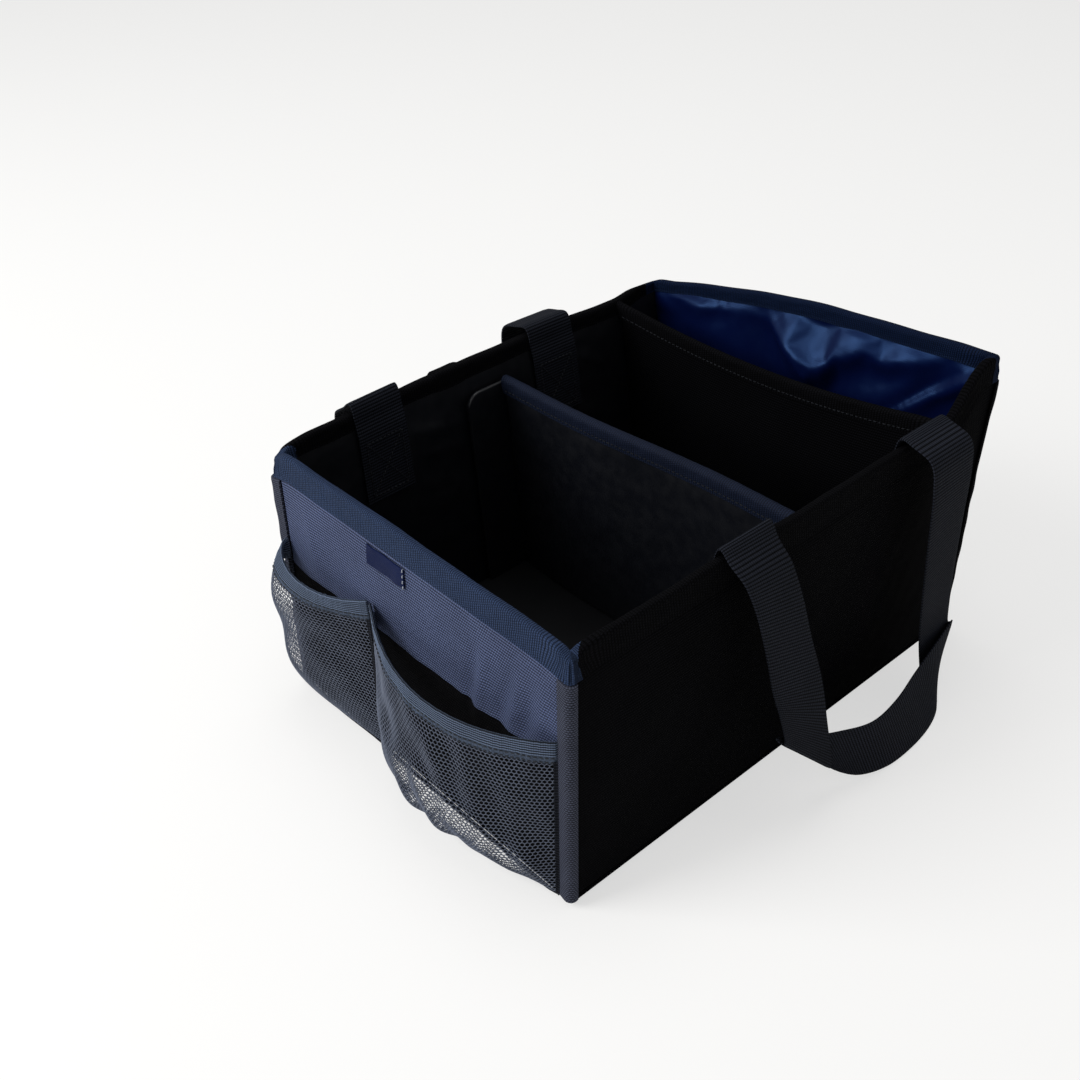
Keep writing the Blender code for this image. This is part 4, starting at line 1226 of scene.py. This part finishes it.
def net_cells(surface):
    """A knitted net of six-sided holes on a surface.

    Cells lie in staggered rows. Each has six crest corners, which it shares with its
    neighbours on the outer and the inner face, and six points at its hole's edge between,
    which lie at NET_HOLE of the way from its centre to its corners.
    """
    sizes = bpy.context.scene.organizer_sizes
    reach, tall = spans(surface)
    columns, rows = round(reach / sizes.net_pitch), round(tall / sizes.net_row)
    i, j = np.meshgrid(np.arange(columns), np.arange(rows), indexing="ij")
    centre = np.stack([2 * i + j % 2, 3 * j], axis=-1).reshape(-1, 1, 2)
    corner = centre + np.array([[1, 1], [0, 2], [-1, 1], [-1, -1], [0, -2], [1, -1]])
    crest, number = np.unique(corner.reshape(-1, 2), axis=0, return_inverse=True)
    number = number.reshape(-1, 6)
    hole = centre + NET_HOLE * (corner - centre)
    normal = normals_of(surface)

    def share(lattice):
        return (lattice[..., 0] + 1) / (2 * columns + 1), (lattice[..., 1] + 2) / (3 * rows + 1)

    ridge_at, out = sample(surface, *share(crest)), sample(normal, *share(crest))
    edge_at = sample(surface, *share(hole)).reshape(-1, 3)
    points = np.concatenate([ridge_at + out * sizes.yarn / 2, ridge_at - out * sizes.yarn / 2, edge_at])
    inner = number + len(crest)
    edge = np.arange(len(number) * 6).reshape(-1, 6) + 2 * len(crest)
    ahead = [np.roll(k, -1, axis=1) for k in (number, inner, edge)]
    quads = [np.stack([number, ahead[0], ahead[2], edge], axis=-1).reshape(-1, 4),
             np.stack([ahead[1], inner, edge, ahead[2]], axis=-1).reshape(-1, 4)]
    pairs = np.stack([number, ahead[0]], axis=-1).reshape(-1, 2)
    _, first, uses = np.unique(np.sort(pairs, axis=1), axis=0, return_index=True, return_counts=True)
    a, b = pairs[first[uses == 1]].T
    quads.append(np.stack([b, a, a + len(crest), b + len(crest)], axis=-1))
    metres = np.concatenate([crest, crest, hole.reshape(-1, 2)]) * (sizes.net_pitch / 2, sizes.net_row / 3)
    return points, np.concatenate(quads), metres


def net_hem(surface):
    """Tape along a net's two sides and its foot, as one strip with mitred corners."""
    width, half = 0.0022, 0.0006
    reach, tall = spans(surface)
    inset = np.linspace(0, 1, 4)[None, :]
    wide, high = inset * width / reach, inset * width / tall
    down = stations(1, 0, -0.02)[:-1, None]
    run = stations(0, 1, 0.015)[:, None]
    along = np.concatenate([wide + 0 * down, wide + (1 - 2 * wide) * run, 1 - wide + 0 * down])
    up = np.concatenate([high + (1 - high) * down, high + 0 * run, high + (1 - high) * down[::-1]])
    strip = sample(surface, along, up)
    strip = strip + sample(normals_of(surface), along, up) * half / 2
    return skin(strip, half, half)


def elastic_band(word):
    """The gathered elastic at a pocket's mouth: ribs along it above its plain sewn foot.

    Returns its middle, and half of its thickness at each point.
    """
    rows, columns = 161, 50
    surface = pocket_surface(word, 1 - ELASTIC_HEIGHT / (MOUTH_HEIGHT - NET_FOOT), 1.0, rows, columns)
    metres = grid_metres(surface)
    high = (metres[0, :, 1] - ELASTIC_FOOT) / ELASTIC_RIB
    ribs = np.where(high > 0, np.abs(np.sin(np.pi * high)), 0.3)[None, :]
    gathers = folds(metres[..., 0], metres[..., 1] * 0.2, 107, 0.0042)
    flare = 0.0007 * np.linspace(-0.2, 1, columns)[None, :] ** 2
    edge = rounded(metres[:, 0, 0], metres[0, :, 1], 0.0007)
    surface = surface + normals_of(surface) * (0.00012 * gathers + flare)[..., None]
    return surface, edge * (0.00035 + 0.0006 * ribs)


class OrganizerNetPockets(bpy.types.Operator):
    """Two knitted net pockets with gathered elastic mouths, hems and the tape between them"""

    bl_idname = "organizer.net_pockets"
    bl_label = "Net pockets"

    def execute(self, context):
        under_elastic, yarn_share = 0.0015, 0.6
        net_top = 1 - (ELASTIC_HEIGHT - under_elastic) / (MOUTH_HEIGHT - NET_FOOT)
        for word in POCKETS:
            surface = pocket_surface(word, 0.0, net_top, 161, 121)
            shape = net_cells(surface)
            net = add_piece("mesh_pocket_" + word, shape, "net", sharp=180)
            hem = add_piece("net_hem_" + word, net_hem(surface), "webbing")
            reach = grid_metres(surface)[-1, -1]
            band, half = elastic_band(word)
            add_piece("pocket_elastic_" + word, skin(band, half, half), "elastic")
        z = stations(NET_FOOT, MOUTH_HEIGHT, 0.003)
        share = np.linspace(-0.5, 0.5, 6)[:, None]
        x = SEAM_X + SEAM_TAPE * share
        surface = grid(x, -HALF_LENGTH - GAP - TAPE / 2 - front_relief(x, z[None, :]), z[None, :])
        bulge = 0.0004 * np.cos(math.pi * share)
        add_piece("pocket_seam_tape", skin(surface, TAPE / 2 + bulge, TAPE / 2), "webbing")
        return {"FINISHED"}


# Handles

def handle_rows():
    """Both edges of a drooping handle: rows of an outer and an inner point.

    The numbers are the source's: millimetres out from the wall, along from the edge's leg,
    and up from a level.
    """
    first = -LEG_SPACING / 2 - STRAP_WIDTH / 2
    second = first + STRAP_WIDTH
    third = LEG_SPACING / 2 - STRAP_WIDTH / 2
    fourth = third + STRAP_WIDTH
    inside = HALF_WIDTH - BAND_INSIDE - GAP - STRAP / 2
    crest = HALF_WIDTH - (BAND_INSIDE - GAP - TAPE) / 2
    floor = STRAP / 2 + GAP
    first_drop = (
        ((11, 0, -4), (9, 0, -8)), ((20, 3, -22), (19, 3, -32)),
        ((27, 6, -47), (27, 6, -60)), ((33, 9, -75), (35, 10, -88)))
    run = (
        ((37, 12, 90), (40, 14, 62)), ((40, 16, 70), (43.5, 21, 24)),
        ((37.5, 14.5, 68.3), (41, 19.5, 22.3)), ((35, 16, 70), (38.5, 21, 24)),
        ((36, 40, 55), (41, 28, 13)), ((41, 68, 44), (49, 44, 3)),
        ((47.5, 92, 40.5), (55, 66, 0)), ((46, 118, 40.5), (55.5, 92, 0)),
        ((40, 146, 42), (52, 115, 0)), ((34, 176, 44), (46, 130, 2)))
    fold_up = (
        ((28, 4, 44), (38, 15, 4)), ((26.5, 5.5, 42.5), (35.5, 16.5, 2.5)),
        ((25, 4, 44), (33, 15, 4)), ((24, 3, 60), (29, 7, 45)), ((23, 2, 85), (28, 2, 80)))
    second_rise = (
        ((22, 1, -57), (25, 1, -60)), ((21, 0, -20), (22, 0, -20)), ((16, 0, -1), (16, 0, -1)))

    def over_the_rim(outer, inner):
        levels = (RIM_HEIGHT - BAND - TAIL, RIM_HEIGHT - BAND, RIM_HEIGHT - GAP)
        rows = [((inside, outer, z), (inside, inner, z)) for z in levels]
        top = RIM_HEIGHT + RIM_ARCH
        return rows + [((crest, outer, top), (crest, inner, top))]

    def placed(rows, outer, inner, level):
        return [tuple((HALF_WIDTH + out * MM, leg + along * MM, level + up * MM)
                      for (out, along, up), leg in zip(row, (outer, inner))) for row in rows]

    return (over_the_rim(first, second) + placed(first_drop, first, second, RIM_HEIGHT)
            + placed(run, first, second, floor) + placed(fold_up, fourth, third, floor)
            + placed(second_rise, fourth, third, RIM_HEIGHT) + over_the_rim(fourth, third)[::-1])


def handle_surface(side, middle_y):
    """Middle of a webbing handle: a ribbon straight across between its two edges."""
    rows = np.array(handle_rows())
    outer, inner = smooth_through(rows[:, 0], 10), smooth_through(rows[:, 1], 10)
    share = np.linspace(0, 1, 13)[None, :, None]
    surface = outer[:, None] * (1 - share) + inner[:, None] * share
    surface[..., 0] *= side
    surface[..., 1] += middle_y
    return surface


class OrganizerHandles(bpy.types.Operator):
    """Two webbing handles with firm edges that droop outside the walls and fold near the floor"""

    bl_idname = "organizer.handles"
    bl_label = "Webbing handles"

    def execute(self, context):
        for word, (side, middle_y) in HANDLES.items():
            surface = handle_surface(side, middle_y)
            edges = np.abs(np.linspace(-1, 1, surface.shape[1]))[None, :]
            half = STRAP / 2 * (0.86 + 0.14 * edges ** 6) * np.where(edges > 0.99, 0.6, 1)
            add_piece("handle_" + word, skin(surface, half, half), "webbing", sharp=60)
        return {"FINISHED"}


# Label and stitches

class OrganizerLabel(bpy.types.Operator):
    """The small blank woven tab under the rim at the front"""

    bl_idname = "organizer.label"
    bl_label = "Label"

    def execute(self, context):
        step, edge = 0.0015, 0.0006
        x = stations(LABEL_X - LABEL_SIZE[0] / 2, LABEL_X + LABEL_SIZE[0] / 2, step, edge)
        z = stations(LABEL_TOP - LABEL_SIZE[1], LABEL_TOP, step, edge)
        a, b = x[:, None], z[None, :]
        surface = grid(a, -HALF_LENGTH - GAP - TAPE / 2 - front_relief(a, b)
                       - 0.00025 * folds(a, b, 111, 0.015), b)
        half = rounded(x, z, edge) * TAPE / 2
        add_piece("label_tab", skin(surface, half, half), "label")
        return {"FINISHED"}


def boxed_cross(side, leg_y):
    """Rows of stitches on a handle's tail: a square and its two diagonals, on its inner face."""
    face = side * (HALF_WIDTH - BAND_INSIDE - GAP - STRAP)
    margin = 0.005
    low, high = RIM_HEIGHT - BAND - TAIL + margin, RIM_HEIGHT - BAND - margin - MM
    left, right = leg_y - STRAP_WIDTH / 2 + margin, leg_y + STRAP_WIDTH / 2 - margin
    a, b, c, d = (face, left, low), (face, right, low), (face, right, high), (face, left, high)
    return [stitches((p, q), (-side, 0, 0)) for p, q in
            ((a, b), (b, c), (c, d), (d, a), (a, c), (b, d))]


# Columns of the rim tape and of the elastic that are sewn through
RIM_STITCHED = (2, -3)
ELASTIC_STITCHED = (4, 13)


class OrganizerStitches(bpy.types.Operator):
    """Sewn rows on the rim tape, the elastics, the hems and the handles' tails"""

    bl_idname = "organizer.stitches"
    bl_label = "Stitches"

    def execute(self, context):
        surface = rim_surface()
        loop = np.concatenate([surface, surface[:1]])
        normal = normals_of(loop[:, ::-1])[:, ::-1]
        rows = [stitches(loop[:, column] + normal[:, column] * TAPE / 2, normal[:, column])
                for column in RIM_STITCHED]
        add_piece("rim_stitches", joined(rows), "thread")

        rows = []
        for word in POCKETS:
            band, half = elastic_band(word)
            normal = normals_of(band)
            face = (band + normal * half[..., None])[1:-1]
            rows += [stitches(face[:, column], normal[1:-1, column]) for column in ELASTIC_STITCHED]
        add_piece("elastic_stitches", joined(rows), "thread")

        step, proud = 0.004, 0.0002
        x = stations(-POCKET_END + 0.004, POCKET_END - 0.004, step)
        half = POCKET_WALL / 2 + GAP + TAPE + proud
        rows = [stitches(grid(x, POCKET_WALL_Y - half, pocket_wall_top(x) - HEM + 0.0035), (0, -1, 0))]
        x = stations(-DIVIDER_END + 0.002, DIVIDER_END - 0.002, step)
        half = DIVIDER / 2 + GAP + TAPE + proud
        low = DIVIDER_TOP - DIVIDER_BAND + 0.0025
        rows += [stitches(grid(x, DIVIDER_Y + divider_bow(x) + way * half, low), (0, way, 0))
                 for way in (-1, 1)]
        add_piece("inside_stitches", joined(rows), "thread")

        rows = [row for side, middle_y in HANDLES.values() for leg in (-1, 1)
                for row in boxed_cross(side, middle_y + leg * LEG_SPACING / 2)]
        add_piece("handle_stitches", joined(rows), "thread")

        z = stations(LABEL_TOP - LABEL_SIZE[1] - 0.001, LABEL_TOP + 0.001, 0.003)
        x = LABEL_X + LABEL_SIZE[0] / 2 - 0.0005
        tack = grid(x, -HALF_LENGTH - GAP - TAPE - front_relief(np.full(len(z), x), z), z)
        add_piece("label_stitches", stitches(tack, (0, -1, 0)), "pale_thread")
        return {"FINISHED"}


class OrganizerBoard(bpy.types.Operator):
    """A finish for the board on the bag's floor, which keeps its own solid"""

    bl_idname = "organizer.board"
    bl_label = "Base board"

    def execute(self, context):
        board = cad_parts["base_board"]
        for place in board.material_slots:
            place.material = finish("stiffener")
        return {"FINISHED"}


# Studio

def facing(place, back, roll=0.0):
    """Matrix of a lamp or camera at a place, its back turned along a direction and rolled."""
    right = np.cross((0, 0, 1), back)
    right /= np.linalg.norm(right)
    up = np.cross(back, right)
    axes = (math.cos(roll) * right + math.sin(roll) * up,
            math.cos(roll) * up - math.sin(roll) * right, back)
    turned = Matrix([axis.tolist() for axis in axes]).transposed()
    return Matrix.Translation(place) @ turned.to_4x4()


def soft_lamp(name, place, power):
    """A soft square lamp that faces the middle of the bag."""
    lamp = bpy.data.lights.new(name, "AREA")
    lamp.size = 1.2
    lamp.energy = power
    holder = bpy.data.objects.new(name, lamp)
    away = np.array(place) - (0, 0, 0.08)
    holder.matrix_world = facing(place, away / np.linalg.norm(away))
    bpy.context.scene.collection.objects.link(holder)


class OrganizerStage(bpy.types.Operator):
    """Pale floor, white surroundings, soft lamps and the camera"""

    bl_idname = "organizer.stage"
    bl_label = "Stage"

    def execute(self, context):
        scene = context.scene
        reach = 6.0
        mesh = bpy.data.meshes.new("studio_floor")
        mesh.from_pydata([(-reach, -reach, 0), (reach, -reach, 0), (reach, reach, 0), (-reach, reach, 0)],
                         [], [(0, 1, 2, 3)])
        material, tree = new_finish("Studio floor")
        shader = add_node(tree, "BsdfPrincipled", {
            "Base Color": (*scene.organizer_colours.floor, 1), "Roughness": 0.9,
            "Specular IOR Level": 0.1})
        white = add_node(tree, "Emission", {0: (1, 1, 1, 1), 1: 1.0})
        seen = add_node(tree, "LightPath").outputs["Is Camera Ray"]
        shown = add_node(tree, "MixShader", {0: ("MULTIPLY", seen, 0.6), 1: shader, 2: white})
        add_node(tree, "OutputMaterial", {0: shown})
        mesh.materials.append(material)
        floor = bpy.data.objects.new("studio_floor", mesh)
        floor.location.z = -GAP
        scene.collection.objects.link(floor)

        world = bpy.data.worlds.new("Studio")
        world.use_nodes = True
        tree = world.node_tree
        tree.nodes.clear()
        rays = add_node(tree, "LightPath").outputs
        seen = ("MAXIMUM", rays["Is Camera Ray"], rays["Is Transmission Ray"])
        level = add_node(tree, "MapRange", {0: seen, 1: 0.0, 2: 1.0, 3: 0.38, 4: 1.0})
        add_node(tree, "OutputWorld", {0: add_node(tree, "Background", {0: (1, 1, 1, 1), 1: level})})
        scene.world = world

        soft_lamp("Key lamp", (-0.9, -1.7, 1.4), 42)
        soft_lamp("Top lamp", (-0.2, 0.2, 2.2), 12)

        lens = bpy.data.cameras.new("Camera")
        lens.lens = CAMERA_LENS
        lens.sensor_width = CAMERA_SENSOR
        camera = bpy.data.objects.new("Camera", lens)
        azimuth, elevation, roll = (
            math.radians(v) for v in (CAMERA_AZIMUTH, CAMERA_ELEVATION, CAMERA_ROLL))
        back = np.array([math.sin(azimuth) * math.cos(elevation),
                         -math.cos(azimuth) * math.cos(elevation), math.sin(elevation)])
        camera.matrix_world = facing(CAMERA_PLACE, back, roll)
        scene.collection.objects.link(camera)
        scene.camera = camera
        scene.view_settings.view_transform = "Standard"
        return {"FINISHED"}


STEPS = (OrganizerWalls, OrganizerLinings, OrganizerTapes, OrganizerRearPocket, OrganizerDivider,
         OrganizerNetPockets, OrganizerHandles, OrganizerLabel, OrganizerStitches, OrganizerBoard,
         OrganizerStage)


class OrganizerSidebar(bpy.types.Panel):
    """Lists the bag's pieces, sizes and colours"""

    bl_idname = "VIEW3D_PT_organizer"
    bl_label = "Organizer bag"
    bl_space_type = "VIEW_3D"
    bl_region_type = "UI"
    bl_category = "Organizer bag"

    def draw(self, context):
        for group in (context.scene.organizer_sizes, context.scene.organizer_colours):
            column = self.layout.column()
            for key in group.__annotations__:
                column.prop(group, key)
        for step in STEPS:
            self.layout.operator(step.bl_idname)


CLASSES = (OrganizerSizes, OrganizerColours, *STEPS, OrganizerSidebar)


def register():
    """Add the classes, and both property groups to the scene."""
    for item in CLASSES:
        bpy.utils.register_class(item)
    bpy.types.Scene.organizer_sizes = bpy.props.PointerProperty(type=OrganizerSizes)
    bpy.types.Scene.organizer_colours = bpy.props.PointerProperty(type=OrganizerColours)


def unregister():
    """Take them away again."""
    del bpy.types.Scene.organizer_colours
    del bpy.types.Scene.organizer_sizes
    for item in reversed(CLASSES):
        bpy.utils.unregister_class(item)


def main():
    """Build the pieces and the stage in order."""
    register()
    for step in STEPS:
        group, name = step.bl_idname.split(".")
        getattr(getattr(bpy.ops, group), name)()


if __name__ == "__main__":
    main()
